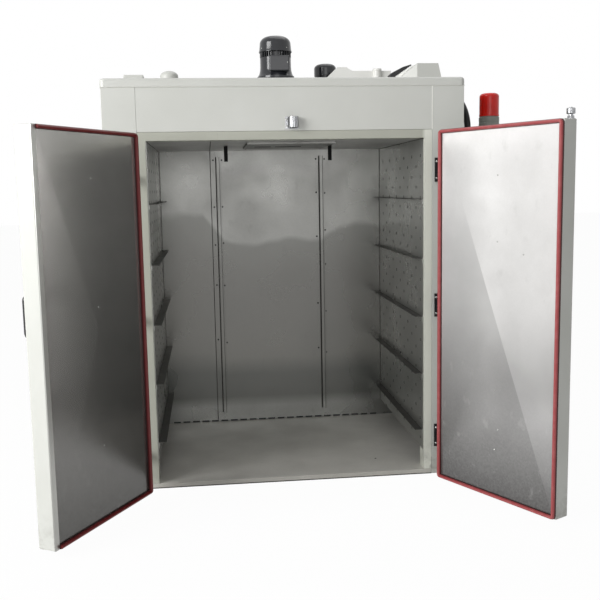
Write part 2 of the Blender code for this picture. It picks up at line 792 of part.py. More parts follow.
def fan_motor():
    """The circulation fan's motor: foot, flange, body, a ring of fins, cowl, terminal box."""
    foot = ROOF + GAP
    flange = foot + FAN_FOOT_HEIGHT
    body = flange + FAN_FLANGE
    neck = body + FAN_BODY_HEIGHT
    cowl = neck + FAN_NECK_HEIGHT
    top = cowl + FAN_COWL_HEIGHT
    profile = [(0, top)]
    profile += shoulder(FAN_COWL_RADIUS - FAN_COWL_TAPER, top, FAN_SHOULDER, 5)
    profile += [
        (FAN_COWL_RADIUS, cowl), (FAN_NECK_RADIUS, cowl), (FAN_NECK_RADIUS, neck),
        (FAN_BODY_RADIUS, neck), (FAN_BODY_RADIUS, body + FAN_FLARE[1]), (FAN_FLARE[0], body),
        (FAN_FLANGE_RADIUS, body), (FAN_FLANGE_RADIUS, flange), (FAN_FOOT_RADIUS, flange),
        (FAN_FOOT_RADIUS, foot), (0, foot),
    ]
    motor = turned("fan_motor", profile, "motor_grey", (0, FAN_Y, 0), 28)
    ring = fin_ring(FAN_NECK_RADIUS - SHEET, FAN_BODY_RADIUS - SHEET, FAN_FINS)
    depth = FAN_NECK_HEIGHT + 2 * SHEET
    fins = flat("fin_guide", [ring], depth, None, (0, FAN_Y, (neck + cowl) / 2))
    combine(motor, as_mesh(fins), "UNION")
    low, high = TERMINAL_BOX_X
    lid = block(
        "terminal_guide", (low, FAN_Y - TERMINAL_BOX_REACH, body + TERMINAL_BOX_LIFT),
        (high, FAN_Y, body + TERMINAL_BOX_LIFT + TERMINAL_BOX_HEIGHT), None,
    )
    combine(motor, lid, "UNION")


def fin_ring(root, tip, count):
    """A toothed outline: each fin takes half of its share of the circle."""
    outline = []
    share = 2 * math.pi / count
    for fin in range(count):
        for radius, part in ((root, 0.0), (tip, 0.05), (tip, 0.45), (root, 0.5)):
            turn = (fin + part) * share
            outline.append((radius * math.cos(turn), radius * math.sin(turn)))
    return outline


def exhaust_fan():
    """The smaller exhaust motor and the low mitred duct in front of it."""
    low = ROOF + GAP
    high = ROOF + EXHAUST_HEIGHT
    profile = [(0, high)]
    profile += shoulder(EXHAUST_RADIUS, high, EXHAUST_SHOULDER)
    profile += [
        (EXHAUST_RADIUS, low + EXHAUST_FLANGE), (EXHAUST_FLANGE_RADIUS, low + EXHAUST_FLANGE),
        (EXHAUST_FLANGE_RADIUS, low), (0, low),
    ]
    turned("exhaust_motor", profile, "motor_grey", (*EXHAUST_CENTRE, 0), 22)
    outline = [
        (DUCT_TOE, low), (DUCT_END, low), (DUCT_END, ROOF + DUCT_HEIGHT),
        (DUCT_SHOULDER, ROOF + DUCT_HEIGHT), (DUCT_CREST[1], ROOF + DUCT_CREST_HEIGHT),
        (DUCT_CREST[0], ROOF + DUCT_CREST_HEIGHT),
    ]
    place = (0, (DUCT_Y[0] + DUCT_Y[1]) / 2, 0)
    duct = as_mesh(flat(
        "exhaust_blower", [outline], DUCT_Y[1] - DUCT_Y[0], "cabinet_paint", place, ALONG_Y
    ))
    collar = drum(
        "collar_guide", COLLAR_RADIUS, low, ROOF + COLLAR_HEIGHT, COLLAR_CENTRE, None, None, 16
    )
    combine(duct, collar, "UNION")


def intake_hood():
    """A mitred sheet hood: a box whose left part runs down and back to a narrow foot."""
    low = ROOF + GAP
    high = ROOF + HOOD_HEIGHT
    foot = SIDE - HOOD_FOOT[0]
    right_foot = SIDE - HOOD_FOOT[1]
    crest = SIDE - HOOD_CREST[0]
    right_crest = SIDE - HOOD_CREST[1]
    front, back = HOOD_Y
    corners = [(x, y, high) for x in (crest, right_crest) for y in (front, back)]
    corners += [(x, y, low) for x in (crest, right_foot) for y in (front, back)]
    corners += [(foot, front + HOOD_FOOT_SETBACK, low), (foot, back, low)]
    shape = bmesh.new()
    for corner in corners:
        shape.verts.new(corner)
    bmesh.ops.convex_hull(shape, input=shape.verts)
    mesh = bpy.data.meshes.new("intake_hood")
    shape.to_mesh(mesh)
    shape.free()
    stand("intake_hood", mesh, "cabinet_paint")


def roof_vents():
    """A flat box and a low dome at the left of the roof."""
    low = ROOF + GAP
    half = (VENT_BOX[1] - VENT_BOX[0]) / 2
    eased_block(
        "roof_vent_box", (VENT_BOX[0] - SIDE, VENT_Y - half, low),
        (VENT_BOX[1] - SIDE, VENT_Y + half, ROOF + VENT_BOX_HEIGHT),
        SHEET_EDGE, SHEET_EDGE, "cabinet_paint",
    )
    rise = VENT_DOME_RADIUS * VENT_DOME_SQUASH
    profile = [(0, ROOF + VENT_DOME_HEIGHT)]
    profile += shoulder(
        VENT_DOME_RADIUS, ROOF + VENT_DOME_HEIGHT, (VENT_DOME_RADIUS, rise), 5
    )[1:]
    profile += [(VENT_DOME_RADIUS, low), (0, low)]
    turned("roof_vent_dome", profile, "cabinet_paint", (VENT_DOME - SIDE, VENT_Y, 0), 20)


def control_cabinet():
    """The cabinet on the right wall, its door, and the beacon on top of it."""
    left = SIDE + GAP
    right = left + CABINET_WIDTH
    shell_front = CABINET_FRONT + CABINET_DOOR
    eased_block(
        "control_cabinet", (left, shell_front, CABINET_BOTTOM),
        (right, CABINET_FRONT + CABINET_DEPTH, CABINET_TOP),
        CABINET_CORNER, CABINET_CORNER / 2, "cabinet_paint",
    )
    rim = CABINET_DOOR_MARGIN
    block(
        "cabinet_door", (left + rim, CABINET_FRONT, CABINET_BOTTOM + rim),
        (right - rim, shell_front - GAP, CABINET_TOP - rim), "cabinet_paint",
    )
    base = CABINET_TOP + GAP
    seat = base + BEACON_BASE_HEIGHT
    drum("beacon_base", BEACON_RADIUS, base, seat, (BEACON_X, CABINET_Y), "beacon_grey")
    low = seat + GAP
    high = low + BEACON_DOME_HEIGHT
    radius = BEACON_RADIUS - BEACON_DOME_INSET
    profile = [(0, high)]
    profile += shoulder(radius, high, (BEACON_EDGE, BEACON_EDGE))
    profile += [(radius, low), (0, low)]
    turned("beacon_dome", profile, "beacon_red", (BEACON_X, CABINET_Y, 0), 24)


def cable_conduit():
    """The flexible conduit from the side wall down into the cabinet's top."""
    curve = bpy.data.curves.new("cable_conduit", "CURVE")
    curve.dimensions = "3D"
    curve.bevel_depth = CONDUIT_RADIUS
    curve.bevel_resolution = 3
    curve.use_fill_caps = True
    start_x = SIDE + GAP
    end_z = CABINET_TOP + GAP
    lead = CONDUIT_LEAD
    reach = CONDUIT_REACH - lead
    drop = CONDUIT_RISE - lead
    steps = 12
    points = [(start_x, CABINET_Y, end_z + CONDUIT_RISE)]
    for step in range(steps + 1):
        turn = math.radians(90 * step / steps)
        across = start_x + lead + reach * math.sin(turn)
        points.append((across, CABINET_Y, end_z + lead + drop * math.cos(turn)))
    points.append((start_x + CONDUIT_REACH, CABINET_Y, end_z))
    spline = curve.splines.new("POLY")
    spline.points.add(len(points) - 1)
    for point, place in zip(spline.points, points):
        point.co = (*place, 1.0)
    stand("cable_conduit", curve, "conduit_black")


def build_oven():
    floor_pan()
    walls()
    roof_cap()
    door_frame()
    duct_panels()
    back_liner()
    shelf_rails()
    ceiling_fittings()
    door_keeper()
    hinge_brackets()
    door(-1, "left")
    door_latch(door(1, "right"))
    fan_motor()
    exhaust_fan()
    intake_hood()
    roof_vents()
    control_cabinet()
    cable_conduit()


build_oven()
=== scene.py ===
"""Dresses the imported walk-in oven: its finishes, fittings, floor, lamps and camera."""

import json
import logging
import math
from dataclasses import dataclass, field, replace
from enum import Enum
from functools import cache
from typing import Callable, Iterable, Self, Sequence

import bmesh
import bpy
from mathutils import Matrix, Vector

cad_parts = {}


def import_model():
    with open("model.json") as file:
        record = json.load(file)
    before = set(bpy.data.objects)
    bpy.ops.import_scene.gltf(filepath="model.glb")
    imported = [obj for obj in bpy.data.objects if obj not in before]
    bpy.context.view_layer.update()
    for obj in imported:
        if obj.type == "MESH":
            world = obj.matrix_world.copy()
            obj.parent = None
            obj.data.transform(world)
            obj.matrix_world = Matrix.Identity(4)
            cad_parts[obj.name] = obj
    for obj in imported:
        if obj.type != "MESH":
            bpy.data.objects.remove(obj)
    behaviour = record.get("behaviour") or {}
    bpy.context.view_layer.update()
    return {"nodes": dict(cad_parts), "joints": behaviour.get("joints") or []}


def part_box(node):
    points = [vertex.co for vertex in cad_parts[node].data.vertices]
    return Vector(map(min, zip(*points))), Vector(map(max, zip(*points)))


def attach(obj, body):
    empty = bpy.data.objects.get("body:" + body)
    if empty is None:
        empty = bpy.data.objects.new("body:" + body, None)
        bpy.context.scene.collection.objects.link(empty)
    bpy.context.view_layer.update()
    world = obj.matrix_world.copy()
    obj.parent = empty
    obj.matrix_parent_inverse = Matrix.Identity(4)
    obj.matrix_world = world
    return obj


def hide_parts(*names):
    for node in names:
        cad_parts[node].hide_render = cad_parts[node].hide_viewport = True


LOG = logging.getLogger("oven")
MM = 0.001
PAINTED_REFLECTION_TOP = "haze_top"
WELD = 0.00002
FLAT_ANGLE = math.radians(0.5)
UP = Vector((0, 0, 1))
TO_FRONT = Vector((0, -1, 0))
COLOURS = {"out": 2, "data_type": "RGBA"}

Spot = tuple[float, float]
Point = tuple[float, float, float]
Profile = Sequence[Spot]
Shape = bmesh.types.BMesh
Socket = bpy.types.NodeSocket
Material = bpy.types.Material

cad_nodes: dict[str, bpy.types.Object] = {}
cad_joints: list[dict] = []


class Body(Enum):
    """The parts that move on their own."""

    OVEN = "oven_body"
    LEFT = "left_door"
    RIGHT = "right_door"


class Side(Enum):
    """The two sides of the oven, seen from the doors."""

    LEFT = -1
    RIGHT = 1

    @property
    def word(self) -> str:
        """The side as it stands in the names of nodes."""
        return self.name.lower()

    @property
    def body(self) -> Body:
        """The door body on this side."""
        return Body[self.name]

    @property
    def inward(self) -> Vector:
        """The direction from this side's wall into the chamber."""
        return Vector((-self.value, 0, 0))


class Slot(Enum):
    """The record's material slots."""

    PAINT = "outer_paint"
    SHEET = "chamber_sheet"
    RAIL = "rail_steel"
    BLACK = "hinge_black"
    LINER = "door_liner_sheet"
    SILICONE = "door_silicone"
    CHROME = "bright_chrome"
    MOTOR = "motor_enamel"
    HOUSING = "beacon_housing"
    LENS = "beacon_lens"
    CONDUIT = "conduit_rubber"


def linear(code: str) -> tuple[float, float, float, float]:
    """Turns an sRGB hex colour to linear light.

    Args:
        code: six hex digits after a hash sign.

    Returns:
        Red, green, blue and an alpha of one.
    """
    parts = [int(code[place:place + 2], 16) / 255 for place in (1, 3, 5)]
    lit = [p / 12.92 if p <= 0.04045 else ((p + 0.055) / 1.055) ** 2.4 for p in parts]
    return lit[0], lit[1], lit[2], 1.0


def add_node(tree: bpy.types.NodeTree, kind: str, inputs: dict | Sequence = (),
             out: int | str = 0, **settings: str) -> Socket | None:
    """Adds a node with its settings, and sets or links its inputs.

    Args:
        tree: the node tree that takes it.
        kind: the node's type, without the ShaderNode before it.
        inputs: input name or number to a value, a hex colour or the output that feeds it,
            or such values in order.
        out: the output that is wanted.
        settings: attributes of the node.

    Returns:
        That output, or None where the node has none.
    """
    node = tree.nodes.new("ShaderNode" + kind)
    for name, value in settings.items():
        setattr(node, name, value)
    pairs = inputs.items() if isinstance(inputs, dict) else enumerate(inputs)
    for name, value in pairs:
        if isinstance(value, Socket):
            tree.links.new(value, node.inputs[name])
        else:
            node.inputs[name].default_value = linear(value) if isinstance(value, str) else value
    return node.outputs[out] if len(node.outputs) else None


@dataclass(frozen=True)
class Clouds:
    """Cloudy noise whose blotches have a real size, pulled out along an axis and turned."""

    size_mm: float
    detail: float = 3.0
    rough: float = 0.5
    stretch: Point = (1.0, 1.0, 1.0)
    turn: float = 0.0
    warp: float = 0.0


class Pattern:
    """A material's node tree, with short ways to lay blotches and relief on a surface."""

    def __init__(self, name: str) -> None:
        """Starts a tree with its coordinates in the object's own metres.

        Args:
            name: the material's name.
        """
        self.material = bpy.data.materials.new(name)
        self.material.use_nodes = True
        self.tree = self.material.node_tree
        self.tree.nodes.clear()
        self.place = self.node("TexCoord", out="Object")

    def node(self, kind: str, inputs: dict | Sequence = (), out: int | str = 0,
             **settings: str) -> Socket | None:
        """Adds a node to this tree, as add_node does."""
        return add_node(self.tree, kind, inputs, out, **settings)

    def lie(self, clouds: Clouds) -> Socket:
        """Lays clouds on their own turned coordinates.

        Args:
            clouds: their size and form.

        Returns:
            A value about one half that is brighter and darker in turn.
        """
        along = self.node("Mapping", {
            "Vector": self.place, "Scale": clouds.stretch, "Rotation": (0.0, 0.0, clouds.turn),
        })
        return self.node("TexNoise", {
            "Vector": along, "Scale": 1.0 / (clouds.size_mm * MM), "Detail": clouds.detail,
            "Roughness": clouds.rough, "Distortion": clouds.warp,
        })

    def blotches(self, clouds: Clouds, cut: Spot, most: float = 1.0, least: float = 0.0) -> Socket:
        """Cuts clouds between two levels and stretches them to a new range."""
        return self.node("MapRange", (self.lie(clouds), *cut, least, most))

    def relief(self, clouds: Clouds, depth_mm: float, strength: float,
               under: Socket | None = None) -> Socket:
        """Raises clouds to a real depth.

        Args:
            clouds: their size and form.
            depth_mm: from the lowest to the highest spot.
            strength: how much of it the light shows.
            under: another relief that it lies on.

        Returns:
            The surface's new facing.
        """
        inputs = {"Height": self.lie(clouds), "Distance": depth_mm * MM, "Strength": strength}
        if under is not None:
            inputs["Normal"] = under
        return self.node("Bump", inputs)

    def two_tone(self, colours: tuple[str, str], clouds: Clouds, cut: Spot, most: float,
                 gloss: Spot) -> tuple[Socket, Socket, Socket]:
        """Lays one colour over another in blotches that the gloss follows.

        Args:
            colours: the ground's and the blotches'.
            clouds: the blotches' size and form.
            cut: the levels between which they come in.
            most: the largest share of the second colour.
            gloss: the roughness of the ground and of the blotches.

        Returns:
            The share of the second colour, the colour and the roughness.
        """
        share = self.blotches(clouds, cut, most)
        base = self.node("Mix", {0: share, 6: colours[0], 7: colours[1]}, **COLOURS)
        return share, base, self.node("MapRange", (share, 0.0, most, *gloss))

    def close(self, inputs: dict) -> Material:
        """Ends the tree with the shader and its output."""
        self.node("OutputMaterial", (self.node("BsdfPrincipled", inputs),))
        return self.material


@dataclass(frozen=True)
class Finish:
    """What every finish has: its name and the record's slot that it mostly belongs to."""

    name: str
    slot: Slot

    def make(self) -> Material:
        """Builds the material."""
        raise NotImplementedError


@cache
def coated(finish: Finish) -> Material:
    """Makes a finish the first time and hands it out again."""
    return finish.make()


@dataclass(frozen=True)
class ZincSheet(Finish):
    """Cold rolled sheet with a zinc coat: a grey half mirror, dulled in clouds and darker toward its
    foot; the door liners' foot and the rear sheet's stripes are painted reflection.
    """

    bright: str
    dull: str
    smear: str
    foot: str
    gloss: Spot = (0.24, 0.36)
    metallic: float = 0.85
    foot_top: float = 0.9
    ripple_mm: float = 420.0
    ripple_depth_mm: float = 1.4
    cloud_mm: float = 260.0
    smears: float = 0.30
    rolled: float = 0.35
    bands: tuple[tuple[float, str], ...] = ()
    band_span: float = 2.0
    by_face: bool = False
    # Hand and shelf marks are 20 to 60 mm across, faint and soft.
    marks: Clouds = Clouds(58.0, 3.0, 0.55, (1.0, 1.0, 0.6), 0.5)
    # Zinc crystals are 5 to 10 mm across and differ by a few percent in tone.
    crystal_mm: float = 9.0
    crystal_tone: float = 0.08
    # Rolling lines are finer than a millimetre; drawn 4 mm apart so that they show.
    lines: Clouds = Clouds(4.0, 2.0, 0.6, (1.0, 1.0, 0.02))

    def _dulled(self, pattern: Pattern) -> Socket:
        """How much of the foot's darker colour the sheet takes: all of it at the ground, none from
        the top of its fade upward. On the door liners each face has its own top, and this is painted
        reflection.

        Args:
            pattern: the tree that it is part of.

        Returns:
            The share of the foot's colour.
        """
        height = pattern.node("SeparateXYZ", (pattern.place,), "Z")
        if not self.by_face:
            return pattern.node("MapRange", (height, 0.0, self.foot_top, 1.0, 0.0))
        ends = pattern.node("Attribute", out="Fac", attribute_name=PAINTED_REFLECTION_TOP)
        rise = pattern.node("Math", (height, ends), operation="DIVIDE")
        return pattern.node("MapRange", (rise, 0.0, 1.0, 1.0, 0.0))

    def _banded(self, pattern: Pattern) -> Socket:
        """Tones in stripes up the sheet with wavy borders: painted reflection and shade, paler at
        the foot and under the ceiling.

        Args:
            pattern: the tree that they are part of.

        Returns:
            The colour.
        """
        node = pattern.node
        across, height = (node("SeparateXYZ", (pattern.place,), axis) for axis in "XZ")
        shift = pattern.blotches(Clouds(430.0, 2.0, 0.4), (0.32, 0.68), 0.06, -0.06)
        # The painted stripes sit higher in the left bay than in the right one.
        for start, end, drop in ((-0.33, -0.47, -0.20), (0.33, 0.47, -0.05)):
            bay = node("MapRange", (across, start, end, 0.0, drop))
            shift = node("Math", (shift, bay), operation="ADD")
        share = node("MapRange", (height, 0.3, 1.1))
        level = node("Math", (shift, share, height), operation="MULTIPLY_ADD")
        ramp = node("ValToRGB", (node("MapRange", (level, 0.0, self.band_span)),))
        stops = ramp.node.color_ramp.elements
        for place, (top, colour) in enumerate(self.bands):
            stop = stops[place] if place < 2 else stops.new(top / self.band_span)
            stop.position = top / self.band_span
            stop.color = linear(colour)
        return ramp

    def make(self) -> Material:
        """Builds the material.

        Returns:
            The finished material.
        """
        pattern = Pattern(self.name)
        node = pattern.node
        cloud, base, gloss = pattern.two_tone(
            (self.bright, self.dull), Clouds(self.cloud_mm), (0.36, 0.66), 1.0, self.gloss)
        if self.bands:
            faint = node("Math", (cloud, 0.35), operation="MULTIPLY")
            base = node("Mix", {0: faint, 6: self._banded(pattern), 7: self.dull}, **COLOURS)
        else:
            # The colour darkens to the foot's colour toward the ground; on the door liners this is
            # painted reflection.
            base = node("Mix", {0: self._dulled(pattern), 6: base, 7: self.foot}, **COLOURS)
        marks = pattern.blotches(self.marks, (0.62, 0.76), self.smears)
        cells = {"Vector": pattern.place, "Scale": 1.0 / (self.crystal_mm * MM)}
        red = node("SeparateColor", (node("TexVoronoi", cells, "Color"),), "Red")
        tone = node("MapRange", (red, 0.0, 1.0, 0.0, self.crystal_tone))
        for share in (marks, tone):
            base = node("Mix", {0: share, 6: base, 7: self.smear}, **COLOURS)
        gloss = node("Math", (marks, 0.15, gloss), operation="MULTIPLY_ADD")
        wave = pattern.relief(Clouds(self.ripple_mm, 1.0, 0.4), self.ripple_depth_mm, 1.0)
        skin = pattern.relief(self.lines, 0.02, self.rolled, wave)
        return pattern.close({
            "Base Color": base, "Roughness": gloss, "Normal": skin, "Metallic": self.metallic})


@dataclass(frozen=True)
class PowderCoat(Finish):
    """Polyester powder baked on steel: an even pale skin with orange peel and faint soiling."""

    colour: str
    soiled: str
    dust: str
    chalked: str = ""
    chalk_from: float = 0.0
    chalk_fade: float = 0.02
    gloss: Spot = (0.36, 0.46)
    soil_top: float = 0.22
    soil: Clouds = Clouds(60.0, 5.0, 0.62, warp=0.6)
    # Rubbed marks, 2 mm wide and up to 80 mm long.
    rubbed: Clouds = Clouds(16.0, 3.0, 0.7, (1.0, 1.0, 0.16), 0.35, 0.8)
    # The peel is 1 to 3 mm wide; drawn 5 mm wide so that it shows.
    peel: Clouds = Clouds(5.0, 1.0, 0.4)
    wave: Clouds = Clouds(700.0, 1.0, 0.4)

    def make(self) -> Material:
        """Builds the material.

        Returns:
            The finished material.
        """
        pattern = Pattern(self.name)
        node = pattern.node
        _, base, gloss = pattern.two_tone(
            (self.colour, self.dust), Clouds(380.0), (0.36, 0.68), 0.55, self.gloss)
        across, height = (node("SeparateXYZ", (pattern.place,), axis) for axis in "XZ")
        if self.chalked:
            # The right leg of the frame is painted paler: painted light.
            end = self.chalk_from + self.chalk_fade
            share = node("MapRange", (across, self.chalk_from, end))
            base = node("Mix", {0: share, 6: base, 7: self.chalked}, **COLOURS)
        # Soiling fades out a hand's breadth above the ground.
        low = node("MapRange", (height, 0.0, self.soil_top, 1.0, 0.0))
        soil = node("Math", (low, pattern.blotches(self.soil, (0.42, 0.72))), operation="MULTIPLY")
        for share in (soil, pattern.blotches(self.rubbed, (0.71, 0.78), 0.35)):
            base = node("Mix", {0: share, 6: base, 7: self.soiled}, **COLOURS)
        wave = pattern.relief(self.wave, 1.0, 0.8, pattern.relief(self.peel, 0.05, 0.5))
        return pattern.close({"Base Color": base, "Roughness": gloss, "Normal": wave, "IOR": 1.5})


@dataclass(frozen=True)
class DarkSteel(Finish):
    """Folded steel with mill scale left on: dark, half dull, with worn and brighter edges."""

    colour: str
    worn: str
    gloss: Spot = (0.34, 0.52)
    grain: Clouds = Clouds(14.0, 3.0, 0.6, (1.0, 0.15, 1.0))

    def make(self) -> Material:
        """Builds the material.

        Returns:
            The finished material.
        """
        pattern = Pattern(self.name)
        _, base, gloss = pattern.two_tone(
            (self.colour, self.worn), Clouds(70.0, 4.0, 0.6), (0.36, 0.68), 1.0, self.gloss)
        share = pattern.blotches(self.grain, (0.55, 0.75), 0.4)
        base = pattern.node("Mix", {0: share, 6: base, 7: self.worn}, **COLOURS)
        skin = pattern.relief(self.grain, 0.06, 0.4)
        return pattern.close({
            "Base Color": base, "Roughness": gloss, "Normal": skin, "Metallic": 0.9})


@dataclass(frozen=True)
class Enamel(Finish):
    """Air dried enamel sprayed over a casting: dark and pitted, with a film of dust on top."""

    colour: str
    dust: str
    gloss: float
    dusty: float
    cast_depth_mm: float = 0.10
    ior: float = 1.5
    film: Clouds = Clouds(26.0, 4.0, 0.62)
    # Sand casting leaves pits of 0.5 to 1 mm; drawn 4 mm wide so that they show.
    pits: Clouds = Clouds(4.0, 2.0, 0.6)

    def make(self) -> Material:
        """Builds the material.

        Returns:
            The finished material.
        """
        pattern = Pattern(self.name)
        node = pattern.node
        facing = node("NewGeometry", out="Normal")
        lies = node("MapRange", (node("SeparateXYZ", (facing,), "Z"), 0.55, 1.0))
        film = pattern.blotches(self.film, (0.34, 0.66), 1.0, 0.25)
        dust = node("Math", (lies, film), operation="MULTIPLY")
        dust = node("Math", (dust, self.dusty), operation="MULTIPLY")
        base = node("Mix", {0: dust, 6: self.colour, 7: self.dust}, **COLOURS)
        gloss = node("Math", (dust, 0.6, self.gloss), operation="MULTIPLY_ADD")
        skin = pattern.relief(self.pits, self.cast_depth_mm, 0.5)
        return pattern.close({
            "Base Color": base, "Roughness": gloss, "Normal": skin, "IOR": self.ior})


@dataclass(frozen=True)
class Skin(Finish):
    """An even skin in two near tones that the gloss follows, with a fine grain."""

    colour: str
    shade: str
    gloss: float
    gloss_rise: float = 0.18
    clouds: Clouds = Clouds(34.0)
    cut: Spot = (0.36, 0.68)
    most: float = 1.0
    grain: Clouds | None = None
    grain_depth_mm: float = 0.05
    grain_strength: float = 0.5
    ior: float = 1.5
    metallic: float = 0.0

    def make(self) -> Material:
        """Builds the material.

        Returns:
            The finished material.
        """
        pattern = Pattern(self.name)
        _, base, gloss = pattern.two_tone(
            (self.colour, self.shade), self.clouds, self.cut, self.most,
            (self.gloss, self.gloss + self.gloss_rise))
        inputs = {
            "Base Color": base, "Roughness": gloss, "IOR": self.ior, "Metallic": self.metallic}
        if self.grain:
            skin = pattern.relief(self.grain, self.grain_depth_mm, self.grain_strength)
            inputs["Normal"] = skin
        return pattern.close(inputs)


@dataclass(frozen=True)
class Silicone(Skin):
    """Extruded silicone rubber: an even colour, satin, a little paler where dust clings."""

    clouds: Clouds = Clouds(34.0, 4.0, 0.6)
    cut: Spot = (0.46, 0.74)
    most: float = 0.5
    # Die lines of an extrusion, a few tenths of a millimetre; drawn 3 mm wide.
    grain: Clouds | None = Clouds(3.0, 2.0)
    ior: float = 1.43


@dataclass(frozen=True)
class Moulded(Skin):
    """Injection moulded plastic: even colour with a fine spark texture, glossy or dull."""

    gloss_rise: float = 0.08
    clouds: Clouds = Clouds(48.0, 3.0, 0.55)
    most: float = 0.7
    grain: Clouds | None = Clouds(3.0, 1.0)
    grain_depth_mm: float = 0.03
    grain_strength: float = 0.4
    ior: float = 1.49


@dataclass(frozen=True)
class Plating(Skin):
    """Bright plated steel, chrome or zinc: a clean mirror with a haze of fingerprints."""

    clouds: Clouds = Clouds(7.0, 3.0, 0.6)
    cut: Spot = (0.4, 0.7)
    metallic: float = 1.0


class Finishes:
    """Every finish of the oven."""

    # The rear sheet's stripes of tone are painted reflection and shade.
    REAR = ZincSheet(
        "galvanised_rear_sheet", Slot.SHEET, "#7E7E7B", "#767673", "#636360", "#62625F",
        ripple_depth_mm=1.0, smears=0.16, cloud_mm=420.0, rolled=0.15,
        bands=((0.03, "#A0A19E"), (0.13, "#9C9D9A"), (0.20, "#686966"), (0.36, "#5C5D5A"),
               (0.48, "#71706C"), (0.95, "#6D6C69"), (1.27, "#6F6F6C"), (1.31, "#8B8B88"),
               (1.70, "#868683"), (1.80, "#9B9B98"), (1.90, "#B9B9B6")))
    DUCT = ZincSheet(
        "galvanised_duct_sheet", Slot.SHEET, "#BBBCB8", "#B0B1AD", "#989793", "#A3A39F",
        cloud_mm=420.0, ripple_depth_mm=0.7, smears=0.12, rolled=0.0)
    CEILING = ZincSheet(
        "galvanised_ceiling_sheet", Slot.SHEET, "#D2D2CF", "#C6C6C3", "#A9A8A5", "#A9A8A5",
        (0.40, 0.50), metallic=0.6, rolled=0.1)
    FLOOR = ZincSheet(
        "trodden_galvanised_floor", Slot.SHEET, "#E2E0D9", "#D6D4CD", "#BAB8B1", "#DCDAD3",
        (0.36, 0.46), metallic=0.10, foot_top=0.01, ripple_depth_mm=0.6, smears=0.15, rolled=0.1)
    # A darker copy of the floor for its upright front edge: painted shade.
    FLOOR_EDGE = replace(
        FLOOR, name="galvanised_floor_edge", bright="#BAB8B1", dull="#AFADA6", smear="#9A9891",
        foot="#B5B3AC", gloss=(0.40, 0.50))
    # One sheet on both doors: the left finish is a darker copy, painted shade, and the right one a
    # paler, less metallic copy, painted light. Their dark foot colours are painted reflection.
    LEFT_LINER = ZincSheet(
        "bright_sheet_left_door", Slot.LINER, "#C0BFBC", "#B6B5B2", "#A4A3A0", "#484745",
        (0.17, 0.22), metallic=0.74, ripple_mm=520.0, ripple_depth_mm=1.2, cloud_mm=420.0,
        smears=0.12, rolled=0.1, by_face=True)
    RIGHT_LINER = replace(
        LEFT_LINER, name="bright_sheet_right_door", bright="#F8F7F6", dull="#E9E8E7",
        smear="#CBCAC8", foot="#3E3D3C", metallic=0.34, cloud_mm=300.0, smears=0.30)
    GRILLE = ZincSheet(
        "galvanised_grille_plate", Slot.SHEET, "#9A9A97", "#8F8F8C", "#787875", "#787875",
        (0.40, 0.50))
    PAINT = PowderCoat("pale_powder_coat", Slot.PAINT, "#C7C8C3", "#8B8A82", "#BEBFB9")
    # The frame's coat is darker than the body's, partly its own tone and partly painted shade; its
    # right leg is painted paler as painted light.
    FRAME = PowderCoat(
        "frame_powder_coat", Slot.PAINT, "#A9AA9F", "#87867E", "#9FA095", "#D8D9CF", 0.735)
    DUCTWORK = PowderCoat("white_ductwork_coat", Slot.PAINT, "#E6E6E2", "#A8A79F", "#DDDDD8")
    # A paler copy of the paint for the hood's lit cheek: painted light.
    CHEEK = PowderCoat("fresh_white_coat", Slot.PAINT, "#FCFCF9", "#D5D4CD", "#F8F8F4")
    RAIL = DarkSteel("mill_finish_angle_steel", Slot.RAIL, "#4E4D4B", "#6A6966")
    CASTING = Enamel("black_cast_iron", Slot.BLACK, "#17181A", "#3A3A39", 0.34, 0.25)
    LACQUER = Enamel("black_lacquered_bar", Slot.BLACK, "#050505", "#0E0E0E", 0.60, 0.05, ior=1.25)
    MOTOR = Enamel("charcoal_gloss_enamel", Slot.MOTOR, "#232428", "#4C4D4D", 0.15, 0.12, 0.04)
    OXIDE = Enamel("black_oxide_screws", Slot.SHEET, "#1C1C1B", "#363532", 0.45, 0.1)
    # One rubber on both doors: the left gasket is a darker copy of the right one, painted shade.
    LEFT_GASKET = Silicone(
        "baked_red_silicone_rubber", Slot.SILICONE, "#6A1B1D", "#7A3432", 0.38)
    RIGHT_GASKET = Silicone("red_silicone_rubber", Slot.SILICONE, "#A0484A", "#B26A69", 0.38)
    # The gasket's foot is dark as painted shade beside the bulb.
    GASKET_FOOT = Silicone("dark_red_silicone_foot", Slot.SILICONE, "#3A1112", "#4A1E1E", 0.55)
    SEAL = Silicone("grey_joint_seal", Slot.PAINT, "#DCDCD5", "#CFCFC8", 0.6)
    # A painted highlight along the lit joint beside the right post.
    BEAD = Silicone("white_joint_sealant", Slot.PAINT, "#F0F0EA", "#E2E2DB", 0.5)
    # Dark for the open joints, and painted shade in the rib folds, behind the duct panels and at the
    # floor's front foot.
    GRIME = Silicone("dark_fold_grime", Slot.SHEET, "#3C3A37", "#4B4945", 0.7)
    # Dark screw heads, and painted shade round the air holes.
    SOOT = Silicone("dark_hole_rims", Slot.SHEET, "#161514", "#24221F", 0.7)
    CHROME = Plating("chrome_plated_steel", Slot.CHROME, "#A4A5A7", "#747577", 0.12)
    ZINC = Plating("zinc_plated_screws", Slot.CHROME, "#B9BAB6", "#8E8E8A", 0.22)
    LENS = Moulded("red_acrylic_lens", Slot.LENS, "#EA1A0C", "#CE140A", 0.16, ior=1.42)
    HOUSING = Moulded("grey_abs_base", Slot.HOUSING, "#979892", "#868782", 0.46)
    CONDUIT = Moulded("black_nylon_conduit", Slot.CONDUIT, "#0F0F10", "#1A1A1A", 0.38)
    # Black painted shade in openings: slots, the grille's throat, the keeper's bore and the hood's
    # mouth.
    SHADOW = Moulded("dark_vent_mesh", Slot.SHEET, "#101112", "#1C1D1E", 0.5)


